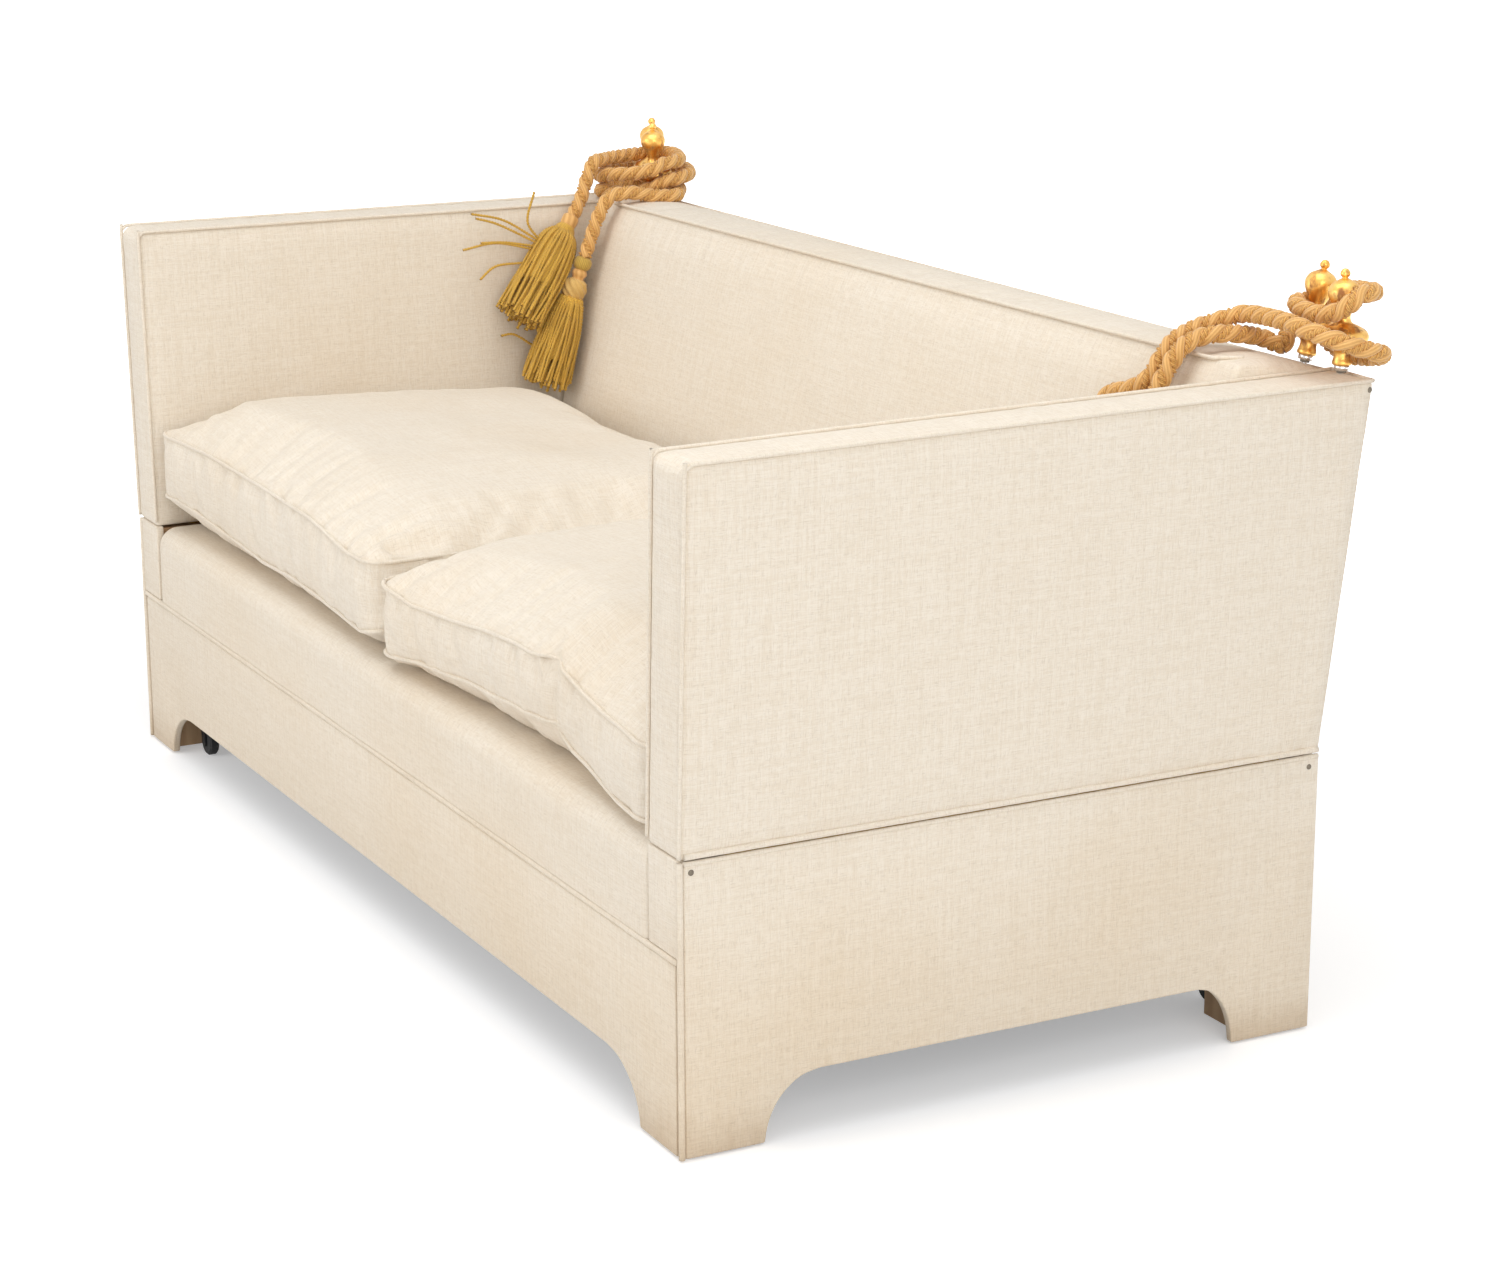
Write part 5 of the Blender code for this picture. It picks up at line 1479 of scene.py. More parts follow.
@dataclass
class Cushion:
    """Loose feather cushion: crowned top, drawn-in sides, bordered between two pipings.

    The seams follow heights read along the front, as (place from the left, height).
    """

    name: str
    node: str
    left: float
    right: float
    top_seam: Outline
    low_seam: Outline
    seed: float
    dents: tuple[tuple[float, float, float, float], ...] = ()
    folds: tuple[tuple[float, float, float, float, float, float], ...] = ()
    crease: float | None = None
    near: float = -0.491
    length: float = 0.688
    crown: float = 0.056
    draw: float = 0.022
    cells: tuple[int, int, int] = (84, 66, 8)
    corner: float = 0.045
    low_rest: float = 0.034
    high_rest: float = 0.133
    crown_reach: float = 0.050
    sag_reach: float = 0.040
    sag: float = 1.15
    crease_width: float = 0.014
    crease_depth: float = 0.010
    face_stretch: float = 0.018
    side_stretch: float = 0.008
    clear: float = 0.0005
    pucker: float = 0.0040
    pucker_reach: float = 0.022
    pucker_scale: float = 42.0
    fold_strength: float = 1.6
    pipe: float = 0.0030

    def seam(self, table: Outline, x: np.ndarray, back: np.ndarray, rest: float) -> np.ndarray:
        """Height of a seam, which settles to an even height towards the rear."""
        xs, zs = zip(*table)
        return np.interp(x, xs, zs) * (1 - back) + rest * back

    def shape(self, shares: np.ndarray) -> np.ndarray:
        """Places the box's points on the sewn cushion, before it is filled."""
        size = np.array((self.right - self.left, self.length))
        flat = plan_rounded(shares[:, :2] * size, size, self.corner)
        across, along = 2 * shares[:, 0] - 1, 2 * shares[:, 1] - 1
        ease_x, ease_y = np.abs(across) ** 3 * np.sign(across), np.abs(along) ** 3 * np.sign(along)
        x = self.left + flat[:, 0] - ease_x * self.draw * (1 - along**2)
        y = self.near + flat[:, 1] - ease_y * self.draw * (1 - across**2)
        back = np.clip(1.3 * shares[:, 1], 0, 1)
        low = self.seam(self.low_seam, x, back, S.seam + self.low_rest)
        high = self.seam(self.top_seam, x, back, S.seam + self.high_rest)
        edge_x = np.minimum(shares[:, 0], 1 - shares[:, 0]) * size[0]
        edge_y = np.minimum(shares[:, 1], 1 - shares[:, 1]) * size[1]
        rise = (1 - np.exp(-edge_x / self.crown_reach)) * (1 - np.exp(-edge_y / self.crown_reach))
        fall = self.sag * (1 - np.exp(-edge_x / self.sag_reach)) * (1 - np.exp(-edge_y / self.sag_reach))
        fall = np.minimum(1.0, fall)
        level = shares[:, 2]
        z = np.where(level >= 1, high + self.crown * rise, low + (high - low) * level)
        z = np.where(level <= 0, low + (S.arm_foot + self.clear - low) * fall, z)
        if self.crease is not None:
            front = np.exp(-(((x - self.crease) / self.crease_width) ** 2)) * (along < -0.999)
            y = y + self.crease_depth * front * (0.35 + 0.65 * level)
        return np.stack([x, y, z], axis=1)

    def rim(self, shares: np.ndarray, level: float) -> np.ndarray:
        """Vertices of a seam, in order round the cushion."""
        on = np.flatnonzero((shares[:, 2] == level) & (at_end(shares, 0) | at_end(shares, 1)))
        u, v = shares[on, 0], shares[on, 1]
        order = np.where(v == 0, u, np.where(u == 1, 1 + v, np.where(v == 1, 3 - u, 4 - v)))
        return on[np.argsort(order)]

    def settled(self, obj: Piece, bounds: tuple[float, float]) -> Piece:
        """Adds the swell and dents of use, and keeps the cushion clear of what is round it."""
        points = coordinates(obj)
        normals = vertex_normals(obj)
        top = np.clip((points[:, 2] - S.seam - 0.10) / 0.05, 0, 1)
        swell = 0.0045 * ripple(points, 6.0, self.seed) + 0.0016 * ripple(points, 19.0, self.seed + 5)
        points = points + normals * (swell * (0.35 + 0.65 * top))[:, None]
        for x, y, radius, depth in self.dents:
            away = np.hypot(points[:, 0] - x, points[:, 1] - y) / radius
            points[:, 2] -= depth * top * np.exp(-(away**2))
        points[:, 0] = np.clip(points[:, 0], *bounds)
        points[:, 2] = np.maximum(points[:, 2], S.arm_foot + 0.0004)
        leaning = S.rear - S.back_foot_depth + 0.0015 + 0.20 * np.clip(points[:, 2] - S.arm_foot, 0, 0.3)
        points[:, 1] = np.minimum(points[:, 1], leaning)
        return move_to(obj, points)

    def puckered(self, obj: Piece, rims: list[np.ndarray]) -> Piece:
        """Gathers the cloth in small puckers along both seams, and lays the folds that run from them."""
        points = coordinates(obj)
        normals = vertex_normals(obj)
        for number, rim in enumerate(rims):
            line = points[rim]
            nearest = np.full(len(points), 1.0)
            run = np.zeros(len(points))
            distances = travelled(line)
            for k, spot in enumerate(line):
                away = np.linalg.norm(points - spot, axis=1)
                closer = away < nearest
                nearest[closer], run[closer] = away[closer], distances[k]
            wave = np.array([noise.noise(Vector((r * self.pucker_scale, self.seed, number))) for r in run])
            fade = np.exp(-((nearest / self.pucker_reach) ** 2)) * np.clip(nearest / 0.006, 0, 1)
            points = points + normals * (self.pucker * wave * fade)[:, None]
        top = np.clip((points[:, 2] - S.seam - 0.10) / 0.03, 0, 1)
        for x0, y0, x1, y1, width, depth in self.folds:
            start, way = np.array((x0, y0)), np.array((x1 - x0, y1 - y0))
            share = np.clip((points[:, :2] - start) @ way / (way @ way), 0, 1)
            away = np.linalg.norm(points[:, :2] - start - share[:, None] * way, axis=1) / width
            shape = np.exp(-(away**2)) - 0.45 * np.exp(-((away - 2.0) ** 2))
            points[:, 2] -= self.fold_strength * depth * top * (1 - share) ** 0.7 * shape
        return move_to(obj, points)

    def build(self) -> None:
        """Sews, fills and settles the cushion, then pipes both seams."""
        shares, faces = box_grid(self.cells)
        obj = mesh_object(self.name, self.shape(shares), faces)
        rims = [self.rim(shares, 1.0), self.rim(shares, 0.0)]
        resting = (shares[:, 2] == 0) & (coordinates(obj)[:, 2] < S.arm_foot + 0.001)
        held = np.isin(np.arange(len(shares)), np.concatenate(rims)) | resting
        side = (shares[:, 2] > 0) & (shares[:, 2] < 1)
        Stuffing().fill(obj, held, np.where(side, self.side_stretch, self.face_stretch))
        bounds = (self.left - 0.004, self.right + 0.004)
        self.settled(obj, bounds)
        seams = [coordinates(obj)[rim] for rim in rims]
        refine(obj)
        cloth_uv(obj)
        self.puckered(obj, rims)
        shown(obj, "base", "linen", PADDED_LINEN.material("cushion"), self.node)
        for word, seam in zip(("top", "low"), seams):
            closed = np.concatenate([seam, seam[:1]])
            piping(f"{self.name}_{word}_piping", closed, self.pipe, "base")


@dataclass
class Arm:
    """One padded arm panel that leans out, piped round both faces and along its hinged lower edge."""

    side: Side
    cells: tuple[int, int, int] = (8, 94, 48)
    edge: float = 0.0045
    nose: float = 0.016
    pipe: float = 0.0027
    pipe_corner: float = 0.012
    seam_pipe: float = 0.0040
    seam_rise: float = 0.0058
    fullness: float = 0.0009

    def cover(self) -> None:
        """The linen over the padding."""
        shares, faces = box_grid(self.cells)
        spread = dense_edges(shares, (0.55, 0.25, 0.3))
        spread = rounded(spread, (S.arm_thick, S.depth, S.arm_front_top - S.arm_foot), self.edge)
        height = S.arm_front_top - S.arm_foot
        view = spread[:, 1:] * np.array((S.depth, height))
        ahead, below = self.nose - view[:, 0], view[:, 1] - (height - self.nose)
        inside = (ahead > 0) & (below > 0)
        far = np.maximum(ahead, below)
        length = np.hypot(ahead, below)
        scale = np.where(inside, far / np.maximum(length, 1e-9), 1.0)
        y_share = np.where(inside, self.nose - ahead * scale, view[:, 0]) / S.depth
        z_share = np.where(inside, height - self.nose + below * scale, view[:, 1]) / height
        y = S.front + y_share * S.depth
        z = S.arm_foot + z_share * (S.arm_top(self.side.value, y) - S.arm_foot)
        y = S.front + y_share * (S.rear_y(z) - S.front)
        x = self.side.value * S.arm_x(spread[:, 0], z)
        obj = mesh_object(f"{self.side.word}_arm_linen", np.stack([x, y, z], axis=1), faces)
        held = (at_end(shares, 0) & (at_end(shares, 1) | at_end(shares, 2))) | (shares[:, 2] == 0)
        Stuffing(pressure=3.0, reach=0.0035, spare=0.005).fill(obj, held)
        refine(obj)
        points = coordinates(obj)
        soft = self.fullness * ripple(points, 9.0, 3.0 + self.side.value)
        from_middle = np.abs(points[:, 0]) - S.arm_x(0.5, points[:, 2])
        inward = np.sign(points[:, 0]) * np.clip(from_middle, -0.02, 0.02) / 0.02
        points[:, 0] += soft * inward
        points[:, 2] = np.maximum(points[:, 2], S.arm_foot)
        move_to(obj, points)
        cloth_uv(obj)
        word = self.side.word
        shown(obj, f"{word}_arm", "linen", PADDED_LINEN.material("arm"), f"{word}_arm_cover")

    def line(self, share: float, foot: float) -> np.ndarray:
        """Route of the piping round one face, from the front's foot to the top's rear."""
        corner = self.pipe_corner
        top = float(S.arm_top(self.side.value, S.front))
        view = [(S.front, foot), (S.front, (foot + top) / 2), (S.front, top - corner)]
        for angle in (22.5, 45.0, 67.5):
            turn = math.radians(angle)
            view.append((S.front + corner * (1 - math.cos(turn)), top - corner * (1 - math.sin(turn))))
        view += [(S.front + corner, float(S.arm_top(self.side.value, S.front + corner)))]
        rear = S.rear + S.arm_rake - 0.003
        view += [(y, float(S.arm_top(self.side.value, y))) for y in np.linspace(S.front + 0.06, rear, 12)]
        return np.array([(self.side.value * float(S.arm_x(share, z)), y, z) for y, z in view])

    def pipings(self) -> None:
        """Piping round the outer and inner faces, and along the outer seam."""
        word, body = self.side.word, f"{self.side.word}_arm"
        outer, inner = self.line(1.0, S.arm_foot + 0.0035), self.line(0.0, S.arm_foot + 0.008)
        across = [outer[-1], (outer[-1] + inner[-1]) / 2, inner[-1]]
        piping(f"{word}_arm_outer_piping", curved(outer, 4), self.pipe, body, f"{word}_arm_piping")
        piping(f"{word}_arm_inner_piping", curved(inner, 4), self.pipe, body)
        piping(f"{word}_arm_rear_piping", across, self.pipe, body)
        x = self.side.value * (S.half + 0.0008)
        seam = [(x, y, S.seam + self.seam_rise) for y in (S.front + 0.006, S.rear - 0.004)]
        piping(f"{word}_seam_piping", seam, self.seam_pipe, body)

    def build(self) -> None:
        """Builds the arm's cover and its pipings."""
        self.cover()
        self.pipings()


@dataclass
class Back:
    """Raked padded back between the arms, with a piping whose ends curl back."""

    cells: tuple[int, int, int] = (150, 12, 46)
    edge: float = 0.006
    pipe: float = 0.0027
    top_swell: float = 0.016
    fullness: float = 0.0016
    stretch: float = 0.007
    rear_stretch: float = 0.003
    # How the front piping's ends curl back, from the top edge's end outwards
    left_curl: tuple[Point, Point] = ((-0.033, 0.030, 0.002), (-0.018, 0.008, 0.001))
    right_curl: tuple[Point, Point] = ((0.018, 0.008, 0.001), (0.033, 0.032, 0.001))

    def half(self, height: Numbers) -> Numbers:
        """Half width at a height."""
        return S.arm_x(0, height) - S.back_end_gap

    def front_y(self, height: np.ndarray, crest: np.ndarray) -> np.ndarray:
        """Y of the front face, a smooth curve through the foot, the middle and the top edge."""
        middle_depth, middle = S.back_middle
        low, high = S.arm_foot, crest
        a = (height - middle) * (height - high) / ((low - middle) * (low - high)) * S.back_foot_depth
        b = (height - low) * (height - high) / ((middle - low) * (middle - high)) * middle_depth
        c = (height - low) * (height - middle) / ((high - low) * (high - middle)) * S.back_top_depth
        return S.rear - (a + b + c)

    def cover(self) -> None:
        """The linen over the padding."""
        shares, faces = box_grid(self.cells)
        spread = dense_edges(shares, (0.10, 0.45, 0.30))
        spread = rounded(spread, (2 * self.half(0.6), 0.13, 0.49), self.edge)
        guess = (2 * spread[:, 0] - 1) * self.half(0.8)
        crest = S.crest(guess)
        front_z = S.arm_foot + spread[:, 2] * (crest - S.arm_foot)
        rear_z = S.arm_foot + spread[:, 2] * (S.rear_edge(guess) - S.arm_foot)
        depth = spread[:, 1]
        z = front_z + (rear_z - front_z) * depth + self.top_swell * depth * (1 - depth) * spread[:, 2] ** 6
        y = self.front_y(front_z, crest) * (1 - depth) + S.rear_y(rear_z) * depth
        x = (2 * spread[:, 0] - 1) * self.half(z)
        obj = mesh_object("back_linen", np.stack([x, y, z], axis=1), faces)
        held = (shares[:, 2] == 0) | (((shares[:, 2] == 1) | at_end(shares, 0)) & at_end(shares, 1))
        reach = np.where(shares[:, 1] == 1, self.rear_stretch, self.stretch)
        Stuffing(pressure=3.5, spare=0.01).fill(obj, held, reach)
        refine(obj)
        points = coordinates(obj)
        points[:, 1] += self.fullness * ripple(points, 5.0, 9.0)
        points[:, 2] = np.maximum(points[:, 2], S.arm_foot)
        half = self.half(points[:, 2])
        points[:, 0] = np.clip(points[:, 0], -half - 0.002, half + 0.002)
        move_to(obj, points)
        cloth_uv(obj)
        shown(obj, "base", "linen", PADDED_LINEN.material("back"), "back_cover")

    def pipings(self) -> None:
        """The front top edge's piping, curled back at its ends, and the rear edge's."""
        xs = np.linspace(-0.93, 0.93, 15)
        line = []
        for share in xs:
            height = float(S.crest(share * self.half(0.86)))
            line.append((share * float(self.half(height)), S.rear - S.back_top_depth, height + 0.001))
        first, last = line[0], line[-1]
        starts = [np.add(first, way) for way in self.left_curl]
        ends = [np.add(last, way) for way in self.right_curl]
        piping("back_front_piping", curved(starts + line + ends, 8), self.pipe, "base", "back_piping")
        half = S.back_half - 0.006
        rims = [(x, float(S.rear_y(S.rear_edge(x))) - 0.0015, float(S.rear_edge(x))) for x in (-half, half)]
        piping("back_rear_piping", rims, self.pipe, "base")

    def build(self) -> None:
        """Builds the back's cover and pipings."""
        self.cover()
        self.pipings()


@dataclass
class Base:
    """The box below: rolled platform edge, skirts with bracket feet, side covers, pipings and nails."""

    pipe: float = 0.004
    roll: float = 0.0033
    nose: float = 0.030
    skirt_feet: float = 0.111
    skirt_cut: tuple[float, float] = (0.092, 0.0754)
    side_feet: tuple[float, float] = (0.1115, 0.119)
    side_cuts: tuple[tuple[float, float], tuple[float, float]] = ((0.073, 0.081), (0.053, 0.081))
    sharp: float = 40.0
    proud: float = 0.002
    edge: float = 0.0025
    brackets = ((0, 0), (0.05, 0.25), (0.16, 0.5), (0.36, 0.74), (0.66, 0.93), (1, 1))

    @property
    def clear(self) -> float:
        """Room that a cover leaves for the piping beside it."""
        return self.pipe + S.gap

    def outline(self, low: float, high: float, top: float, feet: tuple, cuts: tuple) -> Outline:
        """The outline of a skirt board with a smooth bracket at each end.

        Args:
            low: where the board starts.
            high: where it ends.
            top: height of its upper edge.
            feet: widths of the two feet.
            cuts: width and height of the two brackets.

        Returns:
            Points round the board.
        """
        curve = curved([(u, v, 0) for u, v in self.brackets], 5)[:, :2]
        (first, last), (near, far) = feet, cuts
        points = [(low, top), (low, S.foot)]
        points += [(low + first + near[0] * u, S.foot + near[1] * v) for u, v in curve]
        points += [(high - last - far[0] * u, S.foot + far[1] * v) for u, v in curve[::-1]]
        return points + [(high, S.foot), (high, top)]

    def board(self, name: str, outline: Outline, axis: int, low: float, high: float) -> Piece:
        """A covered board: a ring shaped to its outline, filled, drawn out and eased at its edges.

        Args:
            name: name of the piece.
            outline: points of the outline, on the two other axes in order.
            axis: the axis that its thickness lies along.
            low: where its thickness starts.
            high: where its thickness ends.

        Returns:
            The board.
        """
        obj = primitive(name, bpy.ops.mesh.primitive_circle_add, vertices=len(outline), fill_type="NOTHING")
        points = np.full((len(outline), 3), float(low))
        points[:, [k for k in range(3) if k != axis]] = outline
        move_to(obj, points)
        bpy.ops.object.mode_set(mode="EDIT")
        bpy.ops.mesh.select_all(action="SELECT")
        bpy.ops.mesh.edge_face_add()
        way = tuple(high - low if k == axis else 0.0 for k in range(3))
        bpy.ops.mesh.extrude_region_move(TRANSFORM_OT_translate={"value": way})
        bpy.ops.mesh.select_all(action="SELECT")
        bpy.ops.mesh.normals_make_consistent(inside=False)
        bpy.ops.mesh.select_all(action="DESELECT")
        bpy.ops.mesh.select_mode(type="EDGE")
        bpy.ops.mesh.edges_select_sharp(sharpness=math.radians(self.sharp))
        bpy.ops.mesh.bevel(offset=self.edge, segments=3, profile=0.5, clamp_overlap=True)
        bpy.ops.mesh.select_mode(type="VERT")
        bpy.ops.object.mode_set(mode="OBJECT")
        outward(obj)
        only(obj)
        bpy.ops.object.shade_smooth_by_angle(angle=math.radians(self.sharp))
        return cloth_uv(obj)

    def skirts(self) -> None:
        """Front and rear skirts, side covers and the flat covers of the front corners."""
        inside = S.half - S.cover - S.gap
        feet, cuts = (self.skirt_feet - S.cover - S.gap,) * 2, (self.skirt_cut,) * 2
        low_border, high_border = S.border - self.clear, S.border + self.clear
        for word, top, low in (("front", low_border, S.front), ("rear", S.seam, S.rear - S.cover)):
            high = S.rear if word == "rear" else S.front + S.cover
            outline = self.outline(-inside, inside, top, feet, cuts)
            skirt = self.board(f"{word}_skirt_linen", outline, 1, low, high)
            shown(skirt, "base", "linen", LINEN.material(f"{word} skirt"), f"{word}_skirt")
        near = S.front + self.proud + self.clear
        side_feet = (self.side_feet[0] - near + S.front, self.side_feet[1])
        side_outline = self.outline(near, S.rear, S.hinge_seat, side_feet, self.side_cuts)
        for side in Side:
            word, way = side.word, side.value
            low, high = sorted((way * (S.half - S.cover), way * S.half))
            panel = self.board(f"{word}_side_linen", side_outline, 0, low, high)
            shown(panel, "base", "linen", LINEN.material("side cover"), f"{word}_side_cover")
            low, high = sorted((way * (S.arm_inside + S.gap), way * (S.half - self.proud - self.clear)))
            corner = [(low, high_border), (high, high_border), (high, S.seam), (low, S.seam)]
            piece = self.board(f"{word}_corner_linen", corner, 1, S.front, S.front + S.cover)
            shown(piece, "base", "linen", LINEN.material("corner cover"))

    def deck(self) -> None:
        """The stuffed platform, rolled over softly at its front, and its band."""
        half, under = S.arm_inside - 0.0025, S.seam - S.deck
        rear = S.rear - S.cover - S.gap - 0.028 - 0.0125
        low, radius = S.border + self.clear, self.nose
        view = [(S.front + S.cover, under), (S.front + S.cover, low), (S.front, low)]
        view += [(S.front, low + (S.seam - radius - low) * t) for t in (0.1, 0.35, 0.65, 1.0)]
        for angle in np.linspace(15, 90, 6):
            turn = math.radians(angle)
            view.append((S.front + radius * (1 - math.cos(turn)), S.seam - radius * (1 - math.sin(turn))))
        view += [(S.front + 0.16, S.seam), (S.front + 0.45, S.seam), (rear, S.seam), (rear, under)]
        ends, middle = (0.0, 0.003, 0.009), np.linspace(-half + 0.02, half - 0.02, 70)
        stations = [*(inset - half for inset in ends), *middle, *(half - inset for inset in ends[::-1])]
        rings = []
        for x in stations:
            end = np.clip(1 - (half - abs(x)) / 0.012, 0, 1)
            draw = 0.008 * (1 - math.sqrt(1 - end**2))
            drawn = [(y + draw * (y < S.front + 0.03), z - draw * (z > S.seam - 0.02)) for y, z in view]
            rings.append([(x, y, z) for y, z in drawn])
        points, faces = loft(np.array(rings))
        obj = mesh_object("seat_platform_linen", points, faces)
        points = coordinates(obj)
        front = np.clip((S.front + 0.05 - points[:, 1]) / 0.04, 0, 1)
        front = front * np.clip((S.seam - points[:, 2]) / 0.02, 0, 1)
        points[:, 1] += 0.0012 * ripple(points, 7.0, 2.0) * front
        move_to(obj, points)
        only(obj)
        bpy.ops.object.shade_smooth_by_angle(angle=math.radians(50))
        cloth_uv(obj)
        shown(obj, "base", "linen", PADDED_LINEN.material("platform"), "seat_deck")

    def pipings(self) -> None:
        """Piping along the front and down both front corners."""
        y = S.front + self.proud
        end = S.half - self.proud - self.clear
        line = [(-end, y, S.border), (end, y, S.border)]
        piping("front_lower_piping", line, self.pipe, "base", "front_piping")
        for side in Side:
            word, x = side.word, side.value * (S.half - self.proud)
            edge, height = side.value * (S.half - 0.0012), S.hinge_seat + 0.0012
            line = [(edge, y + 0.004, height), (edge, S.rear - 0.002, height)]
            roll = piping(f"{word}_side_top_edge", line, self.roll, "base")
            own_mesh(roll)
            line = [(x, y, S.foot), (x, y, 0.2), (x, y, S.seam - 0.0014)]
            piping(f"{word}_front_corner_piping", line, self.pipe, "base", f"{word}_corner_piping")

    def nails(self) -> None:
        """Dull nails at the corners of the right side."""
        for word, place, radius, body in NAILS:
            add = bpy.ops.mesh.primitive_uv_sphere_add
            obj = primitive(f"nail_{word}", add, segments=16, ring_count=8, radius=radius)
            bpy.ops.object.mode_set(mode="EDIT")
            bpy.ops.mesh.select_all(action="SELECT")
            bpy.ops.transform.resize(value=(0.35, 1.0, 1.0))
            bpy.ops.transform.translate(value=place)
            bpy.ops.object.mode_set(mode="OBJECT")
            only(obj)
            bpy.ops.object.shade_smooth()
            shown(obj, body, "steel", NAIL_IRON.material(word))

    def build(self) -> None:
        """Builds everything of the base."""
        self.deck()
        self.skirts()
        self.pipings()
        self.nails()


# Finials


@dataclass
class Finials:
    """Four turned gilt finials, each over a bright ferrule on its own screw."""

    steps: int = 48

    def spun(self, name: str, outline: Outline) -> Piece:
        """A turned piece: one vertex drawn out along its outline, then spun."""
        obj = primitive(name, bpy.ops.mesh.primitive_plane_add, size=0.001)
        obj.data.clear_geometry()
        obj.data.from_pydata([(outline[0][0], 0.0, outline[0][1])], [], [])
        bpy.ops.object.mode_set(mode="EDIT")
        bpy.ops.mesh.select_all(action="SELECT")
        for (r0, h0), (r1, h1) in zip(outline, outline[1:]):
            bpy.ops.mesh.extrude_region_move(TRANSFORM_OT_translate={"value": (r1 - r0, 0.0, h1 - h0)})
        bpy.ops.mesh.select_all(action="SELECT")
        bpy.ops.mesh.spin(steps=self.steps, angle=math.tau, center=(0, 0, 0), axis=(0, 0, 1))
        bpy.ops.mesh.select_all(action="SELECT")
        bpy.ops.mesh.remove_doubles(threshold=0.00002)
        bpy.ops.mesh.normals_make_consistent(inside=False)
        bpy.ops.object.mode_set(mode="OBJECT")
        outward(obj)
        only(obj)
        bpy.ops.object.shade_smooth()
        return obj

    def build(self) -> None:
        """Turns one finial and one ferrule, and stands copies at the four places."""
        smooth = [(max(r, 0.0), h) for r, _, h in curved([(r, 0, h) for r, h in FINIAL_OUTLINE], 5)]
        model = self.spun("finial_model", smooth)
        ferrule = self.spun("ferrule_model", FERRULE_OUTLINE)
        for key in FINIALS.places:
            foot, way = FINIALS.axis(key)
            stand = upright(foot, way)
            body = f"{key.split('_')[0]}_arm" if key.endswith("arm") else "base"
            pieces = ((model, "gilt", GILT, "gilt"), (ferrule, "ferrule", CHROME, "steel"))
            for source, name, finish, slot in pieces:
                obj = source.copy()
                obj.data = source.data.copy()
                obj.name = obj.data.name = f"{key}_finial_{name}"
                bpy.context.scene.collection.objects.link(obj)
                obj.data.transform(stand)
                nodes = (f"{key}_finial",) if name == "gilt" else ()
                shown(obj, body, slot, finish.material(key), *nodes)
        for source in (model, ferrule):
            bpy.data.objects.remove(source)


# Routes and measured places


LEFT_TURNS = (
    (0.0674, 0), (0.0661, 0), (0.0655, 0), (0.0658, 0), (0.0680, 0.004), (0.0690, 0.012), (0.0670, 0.006),
    (0.0530, 0), (0.0420, 0), (0.0410, 0.004), (0.0405, 0.008), (0.0405, 0.010), (0.0410, 0.010),
    (0.0442, 0.008), (0.0386, 0), (0.0170, 0), (0.0168, 0), (0.0168, 0), (0.0168, 0), (0.0168, 0),
    (0.0168, 0.004), (0.0168, 0.016),
)
RIGHT_TURNS = (
    (0.0615, 0.016), (0.0510, 0.016), (0.0360, 0.020), (0.0220, 0.014), (0.0135, 0.004), (0.0335, 0.011),
    (0.0740, 0), (0.0750, 0), (0.0720, 0), (0.0810, 0), (0.1020, 0), (0.1020, 0), (0.0910, 0.004),
    (0.0560, 0.040), (0.0155, 0.026),
)
LEFT_FRONT_TAIL = (
    (0.070, 0.114, 0.902), (0.077, 0.130, 0.878), (0.086, 0.149, 0.840), (0.096, 0.179, 0.800),
)
LEFT_BACK_TAIL = (
    (0.160, 0.010, 0.8500), (0.156, 0.050, 0.8525), (0.149, 0.088, 0.8590), (0.143, 0.121, 0.8520),
    (0.141, 0.141, 0.822), (0.139, 0.154, 0.787), (0.138, 0.165, 0.757),
)
RIGHT_FRONT_TAIL = (
    (0.110, 0.026, 0.9110), (0.160, 0.024, 0.9065), (0.182, 0.048, 0.8965), (0.188, 0.078, 0.8885),
    (0.184, 0.110, 0.8772), (0.184, 0.128, 0.8590), (0.193, 0.142, 0.8302), (0.222, 0.152, 0.812),
    (0.256, 0.154, 0.802), (0.274, 0.157, 0.785), (0.284, 0.167, 0.755),
)
RIGHT_REAR_TAIL = (
    (0.163, -0.008, 0.8730), (0.152, 0.030, 0.8825), (0.150, 0.070, 0.8870), (0.158, 0.097, 0.8815),
    (0.155, 0.122, 0.8710), (0.158, 0.137, 0.8478), (0.162, 0.147, 0.8265), (0.170, 0.153, 0.803),
    (0.178, 0.165, 0.768),
)
LEFT_TAILS = (("left_front_tail", LEFT_FRONT_TAIL), ("left_back_tail", LEFT_BACK_TAIL))
RIGHT_TAILS = (("right_front_tail", RIGHT_FRONT_TAIL), ("right_rear_tail", RIGHT_REAR_TAIL))
LEFT_STRAYS = tuple(
    tuple((-0.87, along + S.front, height) for along, height in places)
    for places in (
        ((0.668, 0.784), (0.606, 0.822), (0.548, 0.837)), ((0.664, 0.781), (0.596, 0.816), (0.556, 0.829)),
        ((0.672, 0.782), (0.648, 0.817), (0.661, 0.865)), ((0.660, 0.776), (0.606, 0.786), (0.564, 0.788)),
        ((0.654, 0.772), (0.590, 0.786), (0.532, 0.779)), ((0.640, 0.750), (0.590, 0.748), (0.561, 0.728)),
        ((0.654, 0.610), (0.620, 0.632), (0.596, 0.632)),
    )
)
NAILS = (
    ("low_front", (S.half, S.front + 0.0157, 0.357), 0.0038, "base"),
    ("low_rear", (S.half, S.front + 0.885, 0.355), 0.0036, "base"),
    ("arm_top", (0.9985, S.front + 0.936, 0.836), 0.0036, "right_arm"),
    ("arm_rear", (0.9795, S.front + 0.8955, 0.466), 0.0022, "right_arm"),
)
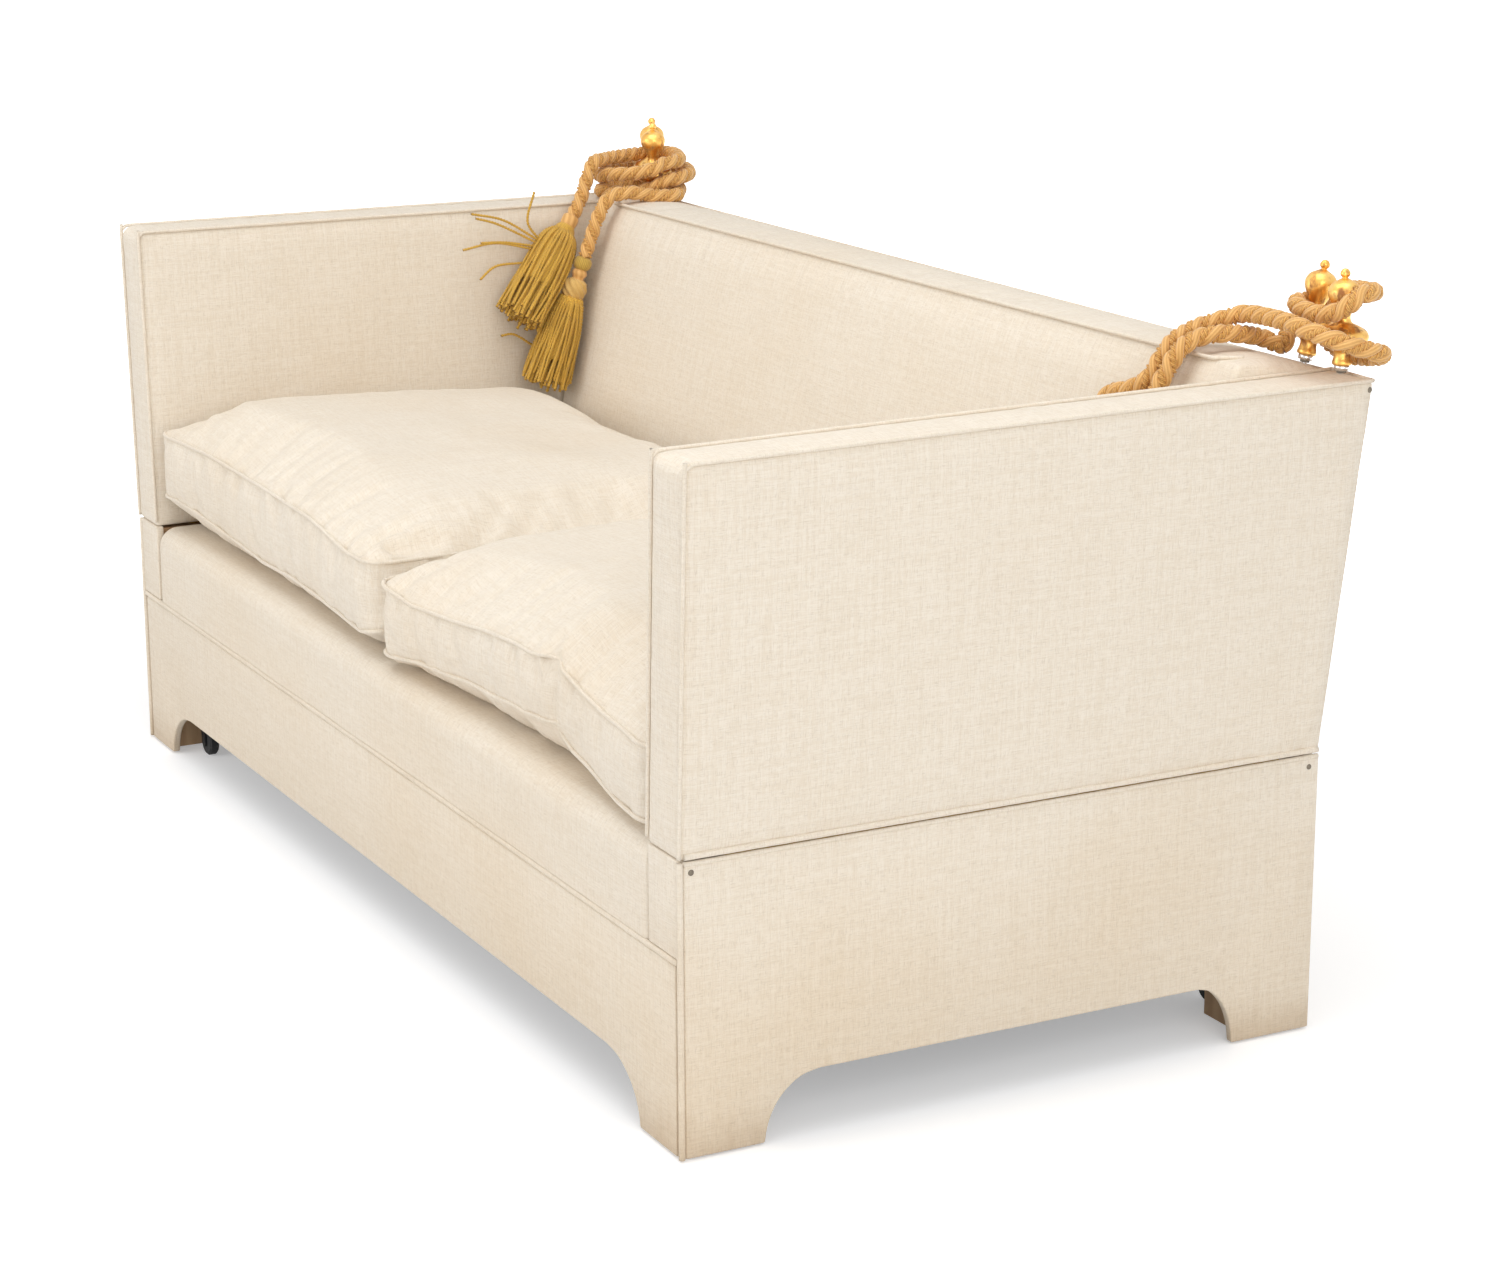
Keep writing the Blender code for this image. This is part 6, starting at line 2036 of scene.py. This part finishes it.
LEFT_CUSHION = Cushion(
    "left_cushion_linen",
    "left_cushion",
    -0.888,
    0.027,
    (
        (-0.89, 0.527), (-0.68, 0.528), (-0.58, 0.524), (-0.46, 0.521), (-0.35, 0.518), (-0.26, 0.518),
        (-0.20, 0.514), (-0.14, 0.507), (-0.084, 0.504), (-0.027, 0.508), (0.03, 0.512),
    ),
    (
        (-0.89, 0.428), (-0.81, 0.430), (-0.70, 0.422), (-0.63, 0.415), (-0.55, 0.410), (-0.47, 0.4045),
        (-0.355, 0.409), (-0.26, 0.408), (-0.17, 0.406), (-0.085, 0.405), (-0.028, 0.405), (0.03, 0.416),
    ),
    1.3,
    dents=((-0.30, -0.02, 0.10, 0.006), (-0.06, -0.10, 0.04, 0.008)),
    folds=(
        (-0.373, -0.486, -0.440, -0.425, 0.012, 0.007), (-0.550, -0.486, -0.575, -0.440, 0.011, 0.004),
        (-0.313, -0.486, -0.345, -0.430, 0.011, 0.005), (-0.003, -0.440, 0.002, -0.330, 0.012, 0.008),
        (-0.035, -0.470, -0.045, -0.380, 0.011, 0.005), (0.022, -0.350, -0.050, -0.250, 0.012, 0.006),
        (0.020, -0.270, -0.070, -0.190, 0.012, 0.005), (-0.800, -0.400, -0.640, -0.430, 0.014, 0.004),
        (-0.100, -0.487, -0.120, -0.430, 0.011, 0.005), (-0.200, -0.487, -0.215, -0.445, 0.010, 0.003),
    ),
)
RIGHT_CUSHION = Cushion(
    "right_cushion_linen",
    "right_cushion",
    0.033,
    0.888,
    (
        (0.03, 0.494), (0.062, 0.491), (0.148, 0.482), (0.265, 0.4885), (0.377, 0.500), (0.461, 0.505),
        (0.519, 0.505), (0.565, 0.514), (0.62, 0.506), (0.685, 0.494), (0.748, 0.487), (0.81, 0.485),
        (0.89, 0.478),
    ),
    (
        (0.03, 0.396), (0.082, 0.396), (0.163, 0.406), (0.253, 0.410), (0.317, 0.416), (0.39, 0.417),
        (0.45, 0.4225), (0.497, 0.422), (0.554, 0.4275), (0.594, 0.433), (0.605, 0.426), (0.643, 0.412),
        (0.697, 0.406), (0.739, 0.398), (0.79, 0.3895), (0.89, 0.388),
    ),
    4.7,
    dents=((0.45, 0.0, 0.12, 0.006),),
    folds=(
        (0.560, -0.484, 0.540, -0.400, 0.014, 0.007), (0.640, -0.486, 0.662, -0.425, 0.011, 0.005),
        (0.222, -0.486, 0.262, -0.430, 0.011, 0.004), (0.374, -0.486, 0.387, -0.430, 0.011, 0.004),
        (0.100, -0.470, 0.150, -0.400, 0.012, 0.004),
    ),
    crease=0.585,
)


# The CAD's own pieces


@dataclass
class Frame:
    """Finishes for the timbers, springs, hinges, screws and castors, whose shapes the CAD holds."""

    def dress(self, name: str, finish: bpy.types.Material) -> None:
        """Gives one node its finish."""
        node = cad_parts[name]
        node.data.materials.clear()
        node.data.materials.append(finish)

    def build(self) -> None:
        """Finishes every node that the sofa keeps."""
        across, back_to_front, upright = (beech(axis) for axis in range(3))
        rules = (
            (("front_rail", "back_rail", "back_frame"), across),
            (("side_rail", "arm_frame"), back_to_front),
            (("post",), upright),
            (("bottom_cloth",), PLATFORM_CLOTH.material()),
            (("seat_springs",), SPRING_WIRE.material()),
            (("hinge",), BRASS.material()),
            (("screw",), CHROME.material("screw")),
            (("wheel",), CASTOR_RUBBER.material()),
            (("castor",), CASTOR_IRON.material()),
        )
        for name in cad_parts:
            for words, finish in rules:
                if any(word in name for word in words):
                    self.dress(name, finish)
                    break


def main() -> None:
    """Builds the scene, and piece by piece."""
    logging.basicConfig(level=logging.INFO, format="%(name)s: %(message)s")
    stage = Stage()
    stage.camera()
    ends = [
        Rope(Side.LEFT, LEFT_TURNS, (0.050, 0.075), LEFT_TAILS).build(),
        Rope(Side.RIGHT, RIGHT_TURNS, None, RIGHT_TAILS).build(),
    ]
    (first, second), (third, fourth) = ends
    Tassel("left_front_tassel_cords", "left_front_tassel", Head.WRAPPED, 11, LEFT_STRAYS).build(*first)
    Tassel("left_back_tassel_cords", "left_back_tassel", Head.BEADED, 12).build(*second)
    Tassel("right_front_tassel_cords", "right_front_tassel", Head.BEADED, 13).build(*third)
    Tassel("right_rear_tassel_cords", "right_rear_tassel", Head.BEADED, 14).build(*fourth)
    Finials().build()
    LEFT_CUSHION.build()
    RIGHT_CUSHION.build()
    for side in Side:
        Arm(side).build()
    Back().build()
    Base().build()
    Frame().build()
    stage.lights()
    stage.floor()


if __name__ == "__main__":
    main()
